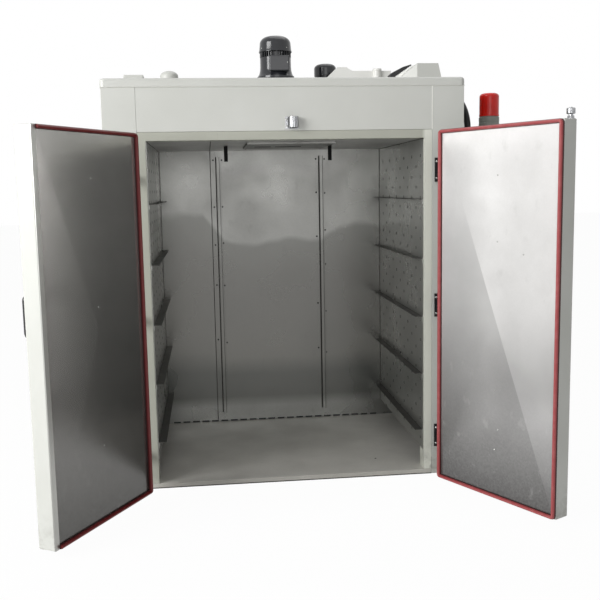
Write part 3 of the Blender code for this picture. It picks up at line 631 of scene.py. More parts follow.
def hard_edges(shape: Shape, over: float) -> list[bmesh.types.BMEdge]:
    """The edges whose faces meet at more than that many degrees."""
    limit = math.radians(over)
    return [e for e in shape.edges if len(e.link_faces) == 2 and e.calc_face_angle(0.0) > limit]


def ease(shape: Shape, edges: list[bmesh.types.BMEdge], radius: float, segments: int) -> None:
    """Rounds edges by a radius."""
    bmesh.ops.bevel(
        shape, geom=edges, offset=radius, offset_type="OFFSET", segments=segments, profile=0.5,
        affect="EDGES", clamp_overlap=True, material=-1)


def arc(centre: Spot, reach: float | Spot, start: float, end: float, steps: int) -> list[Spot]:
    """Points on part of a circle or ellipse.

    Args:
        centre: its middle.
        reach: its radius, or one across and one up.
        start: the first point's angle in degrees.
        end: the last point's.
        steps: how many stretches it has.

    Returns:
        The points, both ends included.
    """
    wide, tall = reach if isinstance(reach, tuple) else (reach, reach)
    turns = [math.radians(start + (end - start) * step / steps) for step in range(steps + 1)]
    return [(centre[0] + wide * math.cos(t), centre[1] + tall * math.sin(t)) for t in turns]


def moved(profile: Profile, up: float, across: float = 0.0) -> list[Spot]:
    """A profile moved up, and across."""
    return [(x + across, height + up) for x, height in profile]


def standing(place: Sequence[float], facing: Vector) -> Matrix:
    """A place whose upright axis points along facing."""
    return Matrix.Translation(Vector(place)) @ UP.rotation_difference(facing).to_matrix().to_4x4()


def spoke(degrees: float) -> Vector:
    """A level direction at an angle."""
    return Vector((math.cos(math.radians(degrees)), math.sin(math.radians(degrees)), 0))


def axis_of(low: Vector, high: Vector) -> Vector:
    """The middle of a box on the ground."""
    return Vector(((low.x + high.x) / 2, (low.y + high.y) / 2, 0.0))


def inner_face(side: Side, sheet: str) -> tuple[float, Vector, Vector]:
    """Where a side's sheet faces the chamber, and the sheet's two corners."""
    low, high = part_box(f"{side.word}_{sheet}")
    return (low.x if side is Side.RIGHT else high.x), low, high


def dress(nodes: Iterable[str], finish: Finish) -> None:
    """Gives CAD nodes that stay as they are their finish.

    Args:
        nodes: their names.
        finish: what they are coated with.
    """
    for name in nodes:
        data = cad_nodes[name].data
        data.materials.clear()
        data.materials.append(coated(finish))
        LOG.info("%s keeps its shape as %s", name, finish.name)


class Workpiece:
    """Shapes joined on the bench, which leave it as one finished piece."""

    def __init__(self) -> None:
        """Starts with an empty mesh."""
        self.mesh = bmesh.new()

    def add(self, shape: Shape, place: Matrix | None = None) -> Self:
        """Joins a shape to the piece, faces outwards.

        Args:
            shape: what is added, which is used up.
            place: where it goes.

        Returns:
            The piece itself.
        """
        if place is not None:
            bmesh.ops.transform(shape, matrix=place, verts=shape.verts)
        bmesh.ops.recalc_face_normals(shape, faces=shape.faces)
        carrier = bpy.data.meshes.new("carrier")
        shape.to_mesh(carrier)
        shape.free()
        self.mesh.from_mesh(carrier)
        bpy.data.meshes.remove(carrier)
        return self

    def block(self, one: Sequence[float], other: Sequence[float], edge: float = 0.0,
              segments: int = 2, place: Matrix | None = None) -> Self:
        """Adds a box.

        Args:
            one: a corner.
            other: the corner across from it.
            edge: the radius of its edges.
            segments: how many facets each edge has.
            place: where it goes.

        Returns:
            The piece itself.
        """
        low, high = (Vector([pick(pair) for pair in zip(one, other)]) for pick in (min, max))
        shape = bmesh.new()
        middle = Matrix.Translation((low + high) / 2)
        size = Matrix.Diagonal((*(high - low), 1.0))
        bmesh.ops.create_cube(shape, size=1.0, matrix=middle @ size)
        if edge:
            ease(shape, list(shape.edges), edge, segments)
        return self.add(shape, place)

    def lathe(self, profile: Profile, steps: int, place: Matrix | None = None) -> Self:
        """Spins a profile about the upright axis.

        Args:
            profile: pairs of radius and height.
            steps: how many facets go round.
            place: where it goes.

        Returns:
            The piece itself.
        """
        shape = bmesh.new()
        points = [shape.verts.new((radius, 0.0, height)) for radius, height in profile]
        edges = [shape.edges.new(pair) for pair in zip(points, points[1:])]
        bmesh.ops.spin(
            shape, geom=points + edges, cent=(0, 0, 0), axis=(0, 0, 1), angle=2 * math.pi,
            steps=steps, use_merge=True)
        bmesh.ops.remove_doubles(shape, verts=shape.verts, dist=WELD)
        return self.add(shape, place)

    def prism(self, outline: Profile, low: float, high: float, edge: float = 0.0,
              place: Matrix | None = None, segments: int = 2) -> Self:
        """Stands an outline up between two heights.

        Args:
            outline: its corners.
            low: the height of its underside.
            high: the height of its top.
            edge: the radius of its hard edges.
            place: where it goes.
            segments: how many facets each edge has.

        Returns:
            The piece itself.
        """
        shape = bmesh.new()
        face = shape.faces.new([shape.verts.new((x, y, low)) for x, y in outline])
        raised = bmesh.ops.extrude_face_region(shape, geom=[face])
        top = [item for item in raised["geom"] if isinstance(item, bmesh.types.BMVert)]
        bmesh.ops.translate(shape, verts=top, vec=(0, 0, high - low))
        if edge:
            ease(shape, hard_edges(shape, 30.0), edge, segments)
        return self.add(shape, place)

    def sweep(self, path: Sequence[Vector], section: Callable[[int], Profile], up: Vector,
              closed: bool = False, place: Matrix | None = None) -> Self:
        """Runs a section along a path by extruding its ring from point to point.

        Args:
            path: the points of the centre line.
            section: gives the ring at each point, as across and up.
            up: a direction that the section's second number keeps to.
            closed: joins the last ring to the first instead of capping both.
            place: where the finished shape goes.

        Returns:
            The piece itself.
        """
        shape = bmesh.new()
        count = len(path)
        first = shape.faces.new([shape.verts.new((0, 0, 0)) for _ in section(0)])
        rings = [list(first.verts)]
        for _ in range(count - 1):
            rings.append(bmesh.ops.extrude_vert_indiv(shape, verts=rings[-1])["verts"])
        for step, members in enumerate(rings):
            after = path[(step + 1) % count] if closed or step + 1 < count else path[step]
            before = path[step - 1] if closed or step else path[step]
            ahead = (after - before).normalized()
            across = ahead.cross(up).normalized()
            rise = across.cross(ahead).normalized()
            inward, outward = path[step] - before, after - path[step]
            turn = inward.angle(outward, 0.0) if inward.length and outward.length else 0.0
            mitre = 1.0 / max(0.3, math.cos(turn / 2))
            for corner, (side, height) in zip(members, section(step)):
                corner.co = path[step] + across * side * mitre + rise * height
        shape.faces.remove(first)
        for wire in list(shape.edges):
            shape.edges.remove(wire)
        loops = []
        for members in rings:
            pairs = zip(members, members[1:] + members[:1])
            loops.append([shape.edges.new(pair) for pair in pairs])
        joints = list(zip(loops, loops[1:]))
        if closed:
            joints.append((loops[-1], loops[0]))
        for one, other in joints:
            bmesh.ops.bridge_loops(shape, edges=one + other)
        if not closed:
            for loop in (loops[0], loops[-1]):
                bmesh.ops.contextual_create(shape, geom=loop)
        return self.add(shape, place)

    def from_node(self, node: str, edge: float = 0.0, segments: int = 2,
                  over: float = 30.0) -> Self:
        """Adds a merged copy of a CAD node.

        Args:
            node: its name.
            edge: the radius of its hard edges.
            segments: how many facets each of them has.
            over: edges that turn by more degrees than this are hard.

        Returns:
            The piece itself.
        """
        shape = bmesh.new()
        shape.from_mesh(cad_nodes[node].data)
        bmesh.ops.remove_doubles(shape, verts=shape.verts, dist=WELD)
        bmesh.ops.dissolve_limit(
            shape, angle_limit=FLAT_ANGLE, verts=shape.verts, edges=shape.edges)
        if edge:
            ease(shape, hard_edges(shape, over), edge, segments)
        return self.add(shape)

    def finish(self, name: str, finish: Finish, replaces: Sequence[str] = (),
               body: Body = Body.OVEN, slot: Slot | None = None, crease: float = 32.0) -> None:
        """Ends the piece: shades it, dresses it and hangs it on its body.

        Args:
            name: the piece's name.
            finish: what it is coated with.
            replaces: CAD nodes that it stands for.
            body: what it moves with.
            slot: the record's material slot, where it isn't the finish's own; not used.
            crease: edges that turn by more degrees than this stay sharp.
        """
        for face in self.mesh.faces:
            face.smooth = True
        for edge in self.mesh.edges:
            if len(edge.link_faces) == 2:
                edge.smooth = edge.calc_face_angle(0.0) < math.radians(crease)
        data = bpy.data.meshes.new(name)
        self.mesh.to_mesh(data)
        self.mesh.free()
        data.materials.append(coated(finish))
        made = bpy.data.objects.new(name, data)
        bpy.context.scene.collection.objects.link(made)
        made.modifiers.new("flat_faces_stay_flat", "WEIGHTED_NORMAL").keep_sharp = True
        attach(made, body.value)
        if replaces:
            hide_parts(*replaces)
        LOG.info("%s: %d faces on %s", name, len(data.polygons), body.value)


@dataclass(frozen=True)
class PanScrew:
    """A pan head screw or pop rivet, seen from its head."""

    radius: float
    rise: float
    recess: float = 0.0014
    steps: int = 10
    sunk: float = 0.0002

    def drive(self, piece: Workpiece, places: Iterable[Sequence[float]], facing: Vector) -> None:
        """Sets heads on a surface.

        Args:
            piece: what they are joined to.
            places: where each one's middle is.
            facing: where the heads point.
        """
        shape = [
            (0.0, self.rise * 0.55), (self.recess, self.rise * 0.6),
            (self.recess * 1.2, self.rise), (self.radius * 0.7, self.rise * 0.9),
            (self.radius, self.rise * 0.35), (self.radius, -self.sunk),
        ]
        for place in places:
            piece.lathe(shape, self.steps, standing(place, facing))


@dataclass
class Shell:
    """The painted outer box: posts, header, walls, roof cap and the frame round the opening."""

    fold: float = 0.0026
    cap_fold: float = 0.0020
    panel_edge: float = 0.0012
    walls: tuple[tuple[str, int, int], ...] = (
        ("left_wall", 1, 3), ("right_wall", 1, 3), ("rear_wall", 0, 4))
    seal: float = 0.0018
    seal_inset: float = 0.55
    bead_depth: Spot = (-0.0012, 0.0010)
    bead_edge: float = 0.0005
    lining: float = 0.0002
    lining_foot: float = 0.029
    lining_ends: Spot = (0.004, -0.16)

    def build(self) -> None:
        """Builds and dresses the shell."""
        for node in ("header_panel", "left_post", "right_post", "roof_cap", "door_frame"):
            finish = Finishes.FRAME if node == "door_frame" else Finishes.PAINT
            edge = self.cap_fold if node == "roof_cap" else self.fold
            Workpiece().from_node(node, edge).finish(node + "_sheet", finish, [node])
        for node, axis, count in self.walls:
            self._panels(node, axis, count)
        self._cap_seal()
        self._bead()
        self._linings()

    def _panels(self, node: str, axis: int, count: int) -> None:
        """Makes a plain wall of upright panels with eased edges.

        Args:
            node: the wall.
            axis: the axis that it runs along.
            count: how many panels it has.
        """
        low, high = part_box(node)
        width = (high[axis] - low[axis]) / count
        piece = Workpiece()
        for panel in range(count):
            first, last = low.copy(), high.copy()
            first[axis] = low[axis] + panel * width
            last[axis] = first[axis] + width
            piece.block(first, last, self.panel_edge)
        piece.finish(node + "_panels", Finishes.PAINT, [node])

    def _cap_seal(self) -> None:
        """The thin line of sealing strip under the skirt of the roof cap."""
        low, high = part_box("roof_cap")
        inset = (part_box("header_panel")[0].y - low.y) * self.seal_inset
        left, right, front, back = low.x + inset, high.x - inset, low.y + inset, high.y - inset
        spots = ((left, front), (right, front), (right, back), (left, back))
        path = [Vector((*spot, low.z)) for spot in spots]
        half = self.seal / 2
        ring = [(-half, -self.seal), (half, -self.seal), (half, 0.0), (-half, 0.0)]
        piece = Workpiece().sweep(path, lambda _: ring, UP, closed=True)
        piece.finish("roof_cap_seal", Finishes.SEAL)

    def _bead(self) -> None:
        """A white strip in the upright joint between the header and the right post, on the lit side
        only: a painted highlight.
        """
        low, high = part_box("header_panel")
        front, back = (low.y + depth for depth in self.bead_depth)
        Workpiece().block(
            (high.x - self.seal, front, low.z), (high.x + self.seal, back, high.z),
            self.bead_edge, 1).finish("header_joint_bead", Finishes.BEAD)

    def _linings(self) -> None:
        """Dark sheets on the inner faces of the side walls, behind the duct panels, so that the air
        holes show dark: painted shade.
        """
        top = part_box("ceiling_slab")[0].z
        for side in Side:
            wall, low, high = inner_face(side, "wall")
            front, back = low.y + self.lining_ends[0], high.y + self.lining_ends[1]
            skin = wall - side.value * self.lining
            Workpiece().block((wall, front, self.lining_foot), (skin, back, top)).finish(
                side.word + "_duct_lining", Finishes.GRIME)


@dataclass
class Chamber:
    """The zinc lined inside: walls, ribs, rails, floor, ceiling and their screws."""

    node_rib_x: float = 0.350
    node_rib_depth: float = 0.025
    node_rib_foot: float = 0.060
    rib_x: Spot = (-0.3545, 0.3440)
    rib_crest: float = 0.0272
    rib_depth: float = 0.0254
    rib_fold: float = 0.0040
    rib_foot: float = 0.066
    rib_top: float = 1.8545
    grime_left: Point = (0.0070, 0.0026, 0.0018)
    grime_right: Spot = (0.0090, 0.0062)
    rib_screw: PanScrew = PanScrew(0.0064, 0.0034)
    rib_screws: Profile = (
        (-0.389, 1.835), (-0.332, 1.835), (-0.389, 1.521), (-0.334, 1.522), (-0.389, 1.265),
        (-0.335, 1.276), (-0.388, 0.990), (-0.335, 0.985), (-0.390, 0.610), (-0.331, 0.587),
        (0.308, 1.834), (0.366, 1.833), (0.308, 1.608), (0.366, 1.603), (0.308, 1.307),
        (0.366, 1.350), (0.365, 1.114), (0.309, 0.843), (0.364, 0.785), (0.309, 0.526),
        (0.363, 0.493),
    )
    hole_pitch: Spot = (0.100, 0.115)
    hole_margin: Spot = (0.060, 0.055)
    hole_rim: Profile = (
        (0.0058, 0.0), (0.0060, 0.0006), (0.0086, 0.0005), (0.0092, 0.0), (0.0058, 0.0))
    corner: float = 0.0028
    skin: float = 0.0006
    tuck: float = 0.0004
    seam_x: float = -0.4065
    seam_width: float = 0.0045
    seam_depth: float = 0.0008
    lap_width: float = 0.030
    lap_foot: float = 0.012
    lap_sheet: float = 0.0016
    lap_edge: float = 0.0005
    rails: int = 5
    rail_sheet: float = 0.003
    ledge_edge: float = 0.0008
    leg_edge: float = 0.0006
    rail_screw: PanScrew = PanScrew(0.0040, 0.0022)
    rail_screws: Point = (0.06, 0.5, 0.94)
    rail_screw_drop: float = 0.020
    grille_edge: float = 0.0012
    grille_rim: float = 0.030
    throat_z: Spot = (-0.0030, -0.0004)
    grille_screw: PanScrew = PanScrew(0.0045, 0.0026)
    grille_screw_inset: float = 0.016
    grille_slots: Profile = ((-0.148, -0.052), (-0.026, 0.128))
    grille_slot_y: Spot = (-0.200, -0.140)
    grille_slot_z: Spot = (-0.0016, 0.0006)
    hanger_edge: float = 0.0012
    floor_screw: PanScrew = PanScrew(0.0060, 0.0018)
    floor_screw_at: Spot = (0.513, -0.448)
    slots: int = 22
    slot_pitch: float = 0.066
    slot_length: float = 0.050
    slot_height: float = 0.0105
    edge_joint: float = 0.0060
    rear: float = field(init=False)
    foot: float = field(init=False)
    top: float = field(init=False)

    def __post_init__(self) -> None:
        """Takes the rear sheet's face, foot and top from its node."""
        low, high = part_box("back_liner")
        self.rear, self.foot, self.top = low.y + self.node_rib_depth, low.z, high.z

    def build(self) -> None:
        """Builds and dresses the chamber."""
        dress(("left_duct_panel", "right_duct_panel"), Finishes.DUCT)
        self._rear_sheet()
        self._air_holes()
        self._corners()
        dress(["ceiling_slab"], Finishes.CEILING)
        dress(["floor_pan"], Finishes.FLOOR)
        self._rails()
        self._ribs()
        self._rib_screws()
        self._seams()
        self._ceiling()
        self._floor_screw()
        self._floor_slots()
        self._floor_edge()

    def _rear_sheet(self) -> None:
        """The rear sheet, with each of its ribs a few millimetres further left."""
        piece = Workpiece().from_node("back_liner")
        for side, middle in zip(Side, self.rib_x):
            folded = side.value * self.node_rib_x
            for vert in piece.mesh.verts:
                raised = vert.co.z > self.foot + self.node_rib_foot
                if raised and abs(vert.co.x - folded) < self.rib_crest:
                    vert.co.x += middle - folded
        piece.finish("rear_lining", Finishes.REAR, ["back_liner"])

    def _air_holes(self) -> None:
        """Dark rings round the air holes of the duct panels: painted shade of the holes."""
        (pitch_y, pitch_z), (margin_y, margin_z) = self.hole_pitch, self.hole_margin
        for side in Side:
            face, low, high = inner_face(side, "duct_panel")
            columns = int((high.y - low.y - 2 * margin_y) / pitch_y) + 1
            rows = int((high.z - low.z - 2 * margin_z) / pitch_z) + 1
            piece = Workpiece()
            for column in range(columns):
                odd = column % 2
                y = low.y + margin_y + column * pitch_y
                for row in range(rows - odd):
                    z = low.z + margin_z + (row + odd / 2) * pitch_z
                    piece.lathe(self.hole_rim, 8, standing((face, y, z), side.inward))
            piece.finish(side.word + "_air_hole_rims", Finishes.SOOT)

    def _corners(self) -> None:
        """The dark open joints where the duct panels meet the rear sheet and the ceiling."""
        piece = Workpiece()
        for side in Side:
            wall, low, high = inner_face(side, "duct_panel")
            deep, thin = (wall - side.value * reach for reach in (self.corner, self.skin))
            piece.block((wall, self.rear - self.skin, low.z), (deep, self.rear + self.tuck, high.z))
            piece.block((wall, low.y, high.z - self.corner), (thin, self.rear, high.z))
        piece.finish("chamber_corner_joints", Finishes.GRIME)

    def _rails(self) -> None:
        """The shelf angles: dark ledges on legs of zinc sheet, with the screws that hold them."""
        for side in Side:
            legs, screws = Workpiece(), Workpiece()
            for count in range(1, self.rails + 1):
                node = f"{side.word}_rail_{count}"
                low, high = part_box(node)
                under = high.z - self.rail_sheet
                ledge = Workpiece().block((low.x, low.y, under), high, self.ledge_edge, 1)
                ledge.finish(node + "_ledge", Finishes.RAIL, [node])
                wall = low.x if side is Side.LEFT else high.x
                inner = wall - side.value * self.rail_sheet
                legs.block((wall, low.y, low.z), (inner, high.y, under), self.leg_edge, 1)
                height = high.z - self.rail_screw_drop
                along = [low.y + (high.y - low.y) * share for share in self.rail_screws]
                spots = [(inner, y, height) for y in along]
                self.rail_screw.drive(screws, spots, side.inward)
            legs.finish(side.word + "_rail_legs", Finishes.DUCT)
            screws.finish(side.word + "_rail_screws", Finishes.ZINC, slot=Slot.RAIL)

    def _ribs(self) -> None:
        """The folded hat ribs with round folds, and dark strips at each rib's left foot and along
        its right fold: painted shade and reflection.
        """
        rear, fold = self.rear, self.rib_fold
        crown = rear - self.rib_depth
        bottom, top = self.foot + self.rib_foot, self.rib_top
        reach, front, back = self.grime_left
        start, end = self.grime_right
        hats, fold_shade = Workpiece(), Workpiece()
        for middle in self.rib_x:
            left, right = middle - self.rib_crest / 2, middle + self.rib_crest / 2
            outline = arc((left + fold, crown + fold), fold, 180, 270, 4)
            outline += arc((right - fold, crown + fold), fold, 270, 360, 4)
            hats.prism([*outline, (right, rear), (left, rear)], bottom, top)
            fold_shade.block((left - reach, rear - front, bottom), (left, rear - back, top))
            fold_shade.block((right - start, crown - self.tuck, bottom),
                        (right - end, crown + self.tuck, top))
        hats.finish("rear_rib_hats", Finishes.REAR)
        fold_shade.finish("rear_rib_grime", Finishes.GRIME)

    def _rib_screws(self) -> None:
        """The dark screws beside each back rib, at uneven heights."""
        piece = Workpiece()
        spots = [(across, self.rear, height) for across, height in self.rib_screws]
        self.rib_screw.drive(piece, spots, TO_FRONT)
        piece.finish("rib_screws", Finishes.SOOT)

    def _seams(self) -> None:
        """The upright lap of the rear sheets, and the open joint beside it and on the ceiling."""
        start, left = self.foot + self.lap_foot, self.seam_x - self.seam_width
        rear, back = self.rear, self.rear + self.tuck
        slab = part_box("ceiling_slab")[0]
        lap = Workpiece().block(
            (self.seam_x, rear - self.lap_sheet, start),
            (self.seam_x + self.lap_width, back, self.top), self.lap_edge, 1)
        lap.finish("rear_sheet_lap", Finishes.REAR)
        piece = Workpiece()
        piece.block((left, rear - self.seam_depth, start), (self.seam_x, back, self.top))
        piece.block((left, slab.y, slab.z - self.skin), (self.seam_x, rear, slab.z + self.tuck))
        piece.finish("rear_sheet_joint", Finishes.GRIME)

    def _ceiling(self) -> None:
        """The return air grille and the two hangers."""
        plate = Workpiece().from_node("ceiling_grille", self.grille_edge, 1)
        plate.finish("ceiling_grille_plate", Finishes.GRILLE, ["ceiling_grille"])
        low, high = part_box("ceiling_grille")
        rim, inset = self.grille_rim, self.grille_screw_inset
        bottom, top = (high.z + rise for rise in self.throat_z)
        # A black block behind the grille's openings: painted shade.
        throat = Workpiece()
        throat.block((low.x + rim, low.y + rim, bottom), (high.x - rim, high.y - rim, top))
        throat.finish("grille_throat", Finishes.SHADOW)
        screws = Workpiece()
        spots = [
            (x, y, low.z) for x in (low.x + inset, high.x - inset)
            for y in (low.y + inset, (low.y + high.y) / 2, high.y - inset)
        ]
        self.grille_screw.drive(screws, spots, -UP)
        screws.finish("grille_screws", Finishes.ZINC, slot=Slot.SHEET)
        # Black blocks in the grille's slots: painted shade.
        slots = Workpiece()
        front, back = self.grille_slot_y
        bottom, top = (low.z + rise for rise in self.grille_slot_z)
        for left, right in self.grille_slots:
            slots.block((left, front, bottom), (right, back, top))
        slots.finish("grille_slots", Finishes.SHADOW)
        for side in Side:
            node = side.word + "_hanger"
            bar = Workpiece().from_node(node, self.hanger_edge)
            bar.finish(node + "_bar", Finishes.LACQUER, [node])

    def _floor_screw(self) -> None:
        """One dark fixing in the floor, by the right front corner."""
        piece = Workpiece()
        spot = (*self.floor_screw_at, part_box("floor_pan")[1].z)
        self.floor_screw.drive(piece, [spot], UP)
        piece.finish("floor_screw", Finishes.OXIDE)

    def _floor_slots(self) -> None:
        """The dark inside of the row of slots at the foot of the rear sheet."""
        piece = Workpiece()
        for slot in range(self.slots):
            left = (slot - (self.slots - 1) / 2) * self.slot_pitch - self.slot_length / 2
            piece.block((left, self.rear - self.tuck, self.foot),
                        (left + self.slot_length, self.rear + self.tuck,
                         self.foot + self.slot_height))
        piece.finish("floor_slot_shades", Finishes.SHADOW)

    def _floor_edge(self) -> None:
        """The front edge of the floor pan between the posts, a darker copy of the floor, over a dark
        strip at its foot: both painted shade.
        """
        low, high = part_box("floor_pan")
        left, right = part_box("left_post")[1].x + self.skin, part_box("right_post")[0].x - self.skin
        split = low.z + self.edge_joint
        for name, bottom, top, finish in (
            ("floor_front_edge", split, high.z - self.skin, Finishes.FLOOR_EDGE),
            ("floor_foot_joint", low.z, split, Finishes.GRIME),
        ):
            Workpiece().block((left, low.y - self.tuck, bottom),
                              (right, low.y + self.tuck, top)).finish(name, finish)


@dataclass
class DoorLeaf:
    """One insulated door, drawn closed about its pivot and set open as the CAD has it."""

    side: Side
    angle: float = 119.0
    edge: float = 0.0030
    strip_edge: float = 0.0012
    rivet: PanScrew = PanScrew(0.0042, 0.0018)
    rivets: dict[Side, Profile] = field(default_factory=lambda: {
        Side.LEFT: ((0.423, 1.096), (0.430, 0.420), (0.430, 1.700)),
        Side.RIGHT: ((0.440, 0.297), (0.462, 0.404), (0.440, 0.608), (0.446, 1.358),
                     (0.610, 1.303), (0.442, 1.683)),
    })
    crease: float = 0.0045
    # How high the painted reflection's dark foot reaches on the hinge, outer, bottom and top faces.
    haze: dict[Side, tuple[float, float, float, float]] = field(default_factory=lambda: {
        Side.LEFT: (1.80, 1.80, 1.80, 1.80), Side.RIGHT: (1.58, 1.12, 1.58, 1.12)})
    gasket_width: float = 0.020
    gasket_corner: float = 0.010
    gasket_foot: float = 0.36
    bulb_neck: Spot = (0.80, 0.30)
    bulb_middle: float = 0.44
    bulb_reach: Spot = (0.86, 0.56)
    handle_bar: float = 0.0070
    handle_tuck: float = 0.012
    handle_bend: float = 0.022
    handle_foot: Profile = (
        (0.0, 0.006), (0.016, 0.006), (0.0185, 0.004), (0.0185, 0.0), (0.0, 0.0))
    hinges: int = 3
    hinge_edge: float = 0.0014
    hinge_plate: float = 0.008
    hinge_screw: PanScrew = PanScrew(0.0052, 0.0026, 0.0020, 12)
    hinge_screw_inset: Spot = (0.010, 0.020)
    leaf_screw_depths: Spot = (0.046, 0.014)
    place: Matrix = field(init=False)

    def __post_init__(self) -> None:
        """Works out the door's own place from the joint."""
        joint = self.side.word + "_door_hinge"
        found = next(item for item in cad_joints if item["name"] == joint)
        pivot = Vector((found["pos_m"][0], found["pos_m"][1], 0.0))
        turn = Matrix.Rotation(self.side.value * math.radians(self.angle), 4, "Z")
        flip = Matrix.Diagonal((-self.side.value, 1.0, 1.0, 1.0))
        self.place = Matrix.Translation(pivot) @ turn @ flip

    def build(self) -> None:
        """Builds and dresses the door."""
        word, body = self.side.word, self.side.body
        case = word + "_door_case"
        skin = Workpiece().from_node(case, self.edge, 3)
        skin.finish(word + "_door_skin", Finishes.PAINT, [case], body)
        self._liner()
        self._gasket()
        self._rivets()
        self._handle()
        self._hinges()
        if self.side is Side.RIGHT:
            self._latch()
        else:
            strip = Workpiece().from_node("left_door_astragal", self.strip_edge)
            strip.finish("left_meeting_strip", Finishes.DUCT, ["left_door_astragal"], body)

    def _span(self, node: str) -> tuple[Vector, Vector]:
        """The lowest and highest corner of a node in the door's own place.

        Args:
            node: its name.

        Returns:
            The two corners.
        """
        back = self.place.inverted()
        spots = [back @ v.co for v in cad_nodes[node].data.vertices]
        low, high = (Vector([pick(s[axis] for s in spots) for axis in range(3)])
                     for pick in (min, max))
        return low, high

    def _facing(self, direction: Point) -> Vector:
        """A direction of the door's own place, as the oven has it."""
        return (self.place.to_3x3() @ Vector(direction)).normalized()

    def _off_middle(self, spot: Vector) -> Spot:
        """How far a spot of the inner sheet is from its middle.

        Args:
            spot: where it is in the door's own place.

        Returns:
            Its share across and up, with the sheet's ends at one.
        """
        low, high = self._span(self.side.word + "_door_liner")
        share = (spot - (low + high) / 2) * 2
        return share.x / (high.x - low.x), share.z / (high.z - low.z)

    def _liner(self) -> None:
        """The inner sheet, stiffened by two crossing folds, each of its faces with its own height of
        painted reflection.
        """
        node = self.side.word + "_door_liner"
        piece = Workpiece().from_node(node)
        layer = piece.mesh.faces.layers.float.new(PAINTED_REFLECTION_TOP)
        back = self.place.inverted()
        hinge, outer, bottom, top = self.haze[self.side]
        for face in piece.mesh.faces:
            across, rise = self._off_middle(back @ face.calc_center_median())
            if abs(across) > abs(rise):
                face[layer] = outer if across > 0 else hinge
            else:
                face[layer] = top if rise > 0 else bottom
        finish = Finishes.LEFT_LINER if self.side is Side.LEFT else Finishes.RIGHT_LINER
        piece.finish(node + "_sheet", finish, [node], self.side.body, crease=0.3)

    def _gasket(self) -> None:
        """The extruded gasket: a flat foot with a hollow bulb, round the door's inner face; the
        foot's dark colour is painted shade along the bulb's edges.
        """
        word, whole = self.side.word, self.side is Side.RIGHT
        low, high = self._span(word + "_door_gasket")
        half, corner = self.gasket_width / 2, self.gasket_corner
        crown = high.y - low.y
        ledge, middle = self.gasket_foot * crown, self.bulb_middle * crown
        neck, shoulder = self.bulb_neck[0] * half, self.bulb_neck[1] * crown
        reach = (self.bulb_reach[0] * half, self.bulb_reach[1] * crown)
        flat = [(-half, 0.0), (-half, ledge), (half, ledge), (half, 0.0)]
        bulb = [(-neck, shoulder), *arc((0, middle), reach, 180, 0, 10), (neck, shoulder)]
        near, far = low.x + half + corner, high.x - half - corner
        bottom, top = low.z + half + corner, high.z - half - corner
        turns = ((far, bottom, 270), (far, top, 0), (near, top, 90), (near, bottom, 180))
        rounds = [arc((x, z), corner, start, start + 90, 4) for x, z, start in turns]
        if whole:
            path = sum(rounds, [])
        else:
            path = [(high.x, high.z - half), *rounds[2], *rounds[3], (high.x, low.z + half)]
        points = [Vector((x, low.y, z)) for x, z in path]
        rubber = Finishes.RIGHT_GASKET if whole else Finishes.LEFT_GASKET
        for ring, name, finish, replaces, crease in (
            (flat, "_door_seal_foot", Finishes.GASKET_FOOT, [], 32.0),
            (bulb, "_door_seal", rubber, [word + "_door_gasket"], 48.0),
        ):
            piece = Workpiece().sweep(points, lambda _: ring, -TO_FRONT, whole, self.place)
            piece.finish(word + name, finish, replaces, self.side.body, crease=crease)

    def _rivets(self) -> None:
        """Pop rivets on the inner sheet, which is a few millimetres proud at its middle."""
        face = self._span(self.side.word + "_door_liner")[1].y
        spots = []
        for across, height in self.rivets[self.side]:
            away = max(map(abs, self._off_middle(Vector((across, face, height)))))
            spots.append(self.place @ Vector((across, face - self.crease * away, height)))
        piece = Workpiece()
        self.rivet.drive(piece, spots, self._facing((0, 1, 0)))
        piece.finish(self.side.word + "_liner_rivets", Finishes.ZINC, body=self.side.body,
                     slot=Slot.LINER)

    def _handle(self) -> None:
        """The pull: a bowed bar on two turned feet."""
        node = self.side.word + "_door_handle"
        low, high = self._span(node)
        middle = (low.x + high.x) / 2
        bar, bend = self.handle_bar, self.handle_bend
        out = low.y + bar + self.handle_tuck + bend
        bottom, top = low.z + bar, high.z - bar
        path = [(high.y, bottom), *arc((out, bottom + bend), bend, 270, 180, 6)]
        path += [*arc((out, top - bend), bend, 180, 90, 6), (high.y, top)]
        points = [Vector((middle, y, z)) for y, z in path]
        ring = arc((0, 0), (1.3 * bar, bar), 0, 360, 16)[:-1]
        piece = Workpiece().sweep(points, lambda _: ring, Vector((1, 0, 0)), place=self.place)
        for height in (bottom, top):
            foot = standing((middle, high.y, height), TO_FRONT)
            piece.lathe(self.handle_foot, 20, self.place @ foot)
        piece.finish(self.side.word + "_pull", Finishes.CASTING, [node], self.side.body)

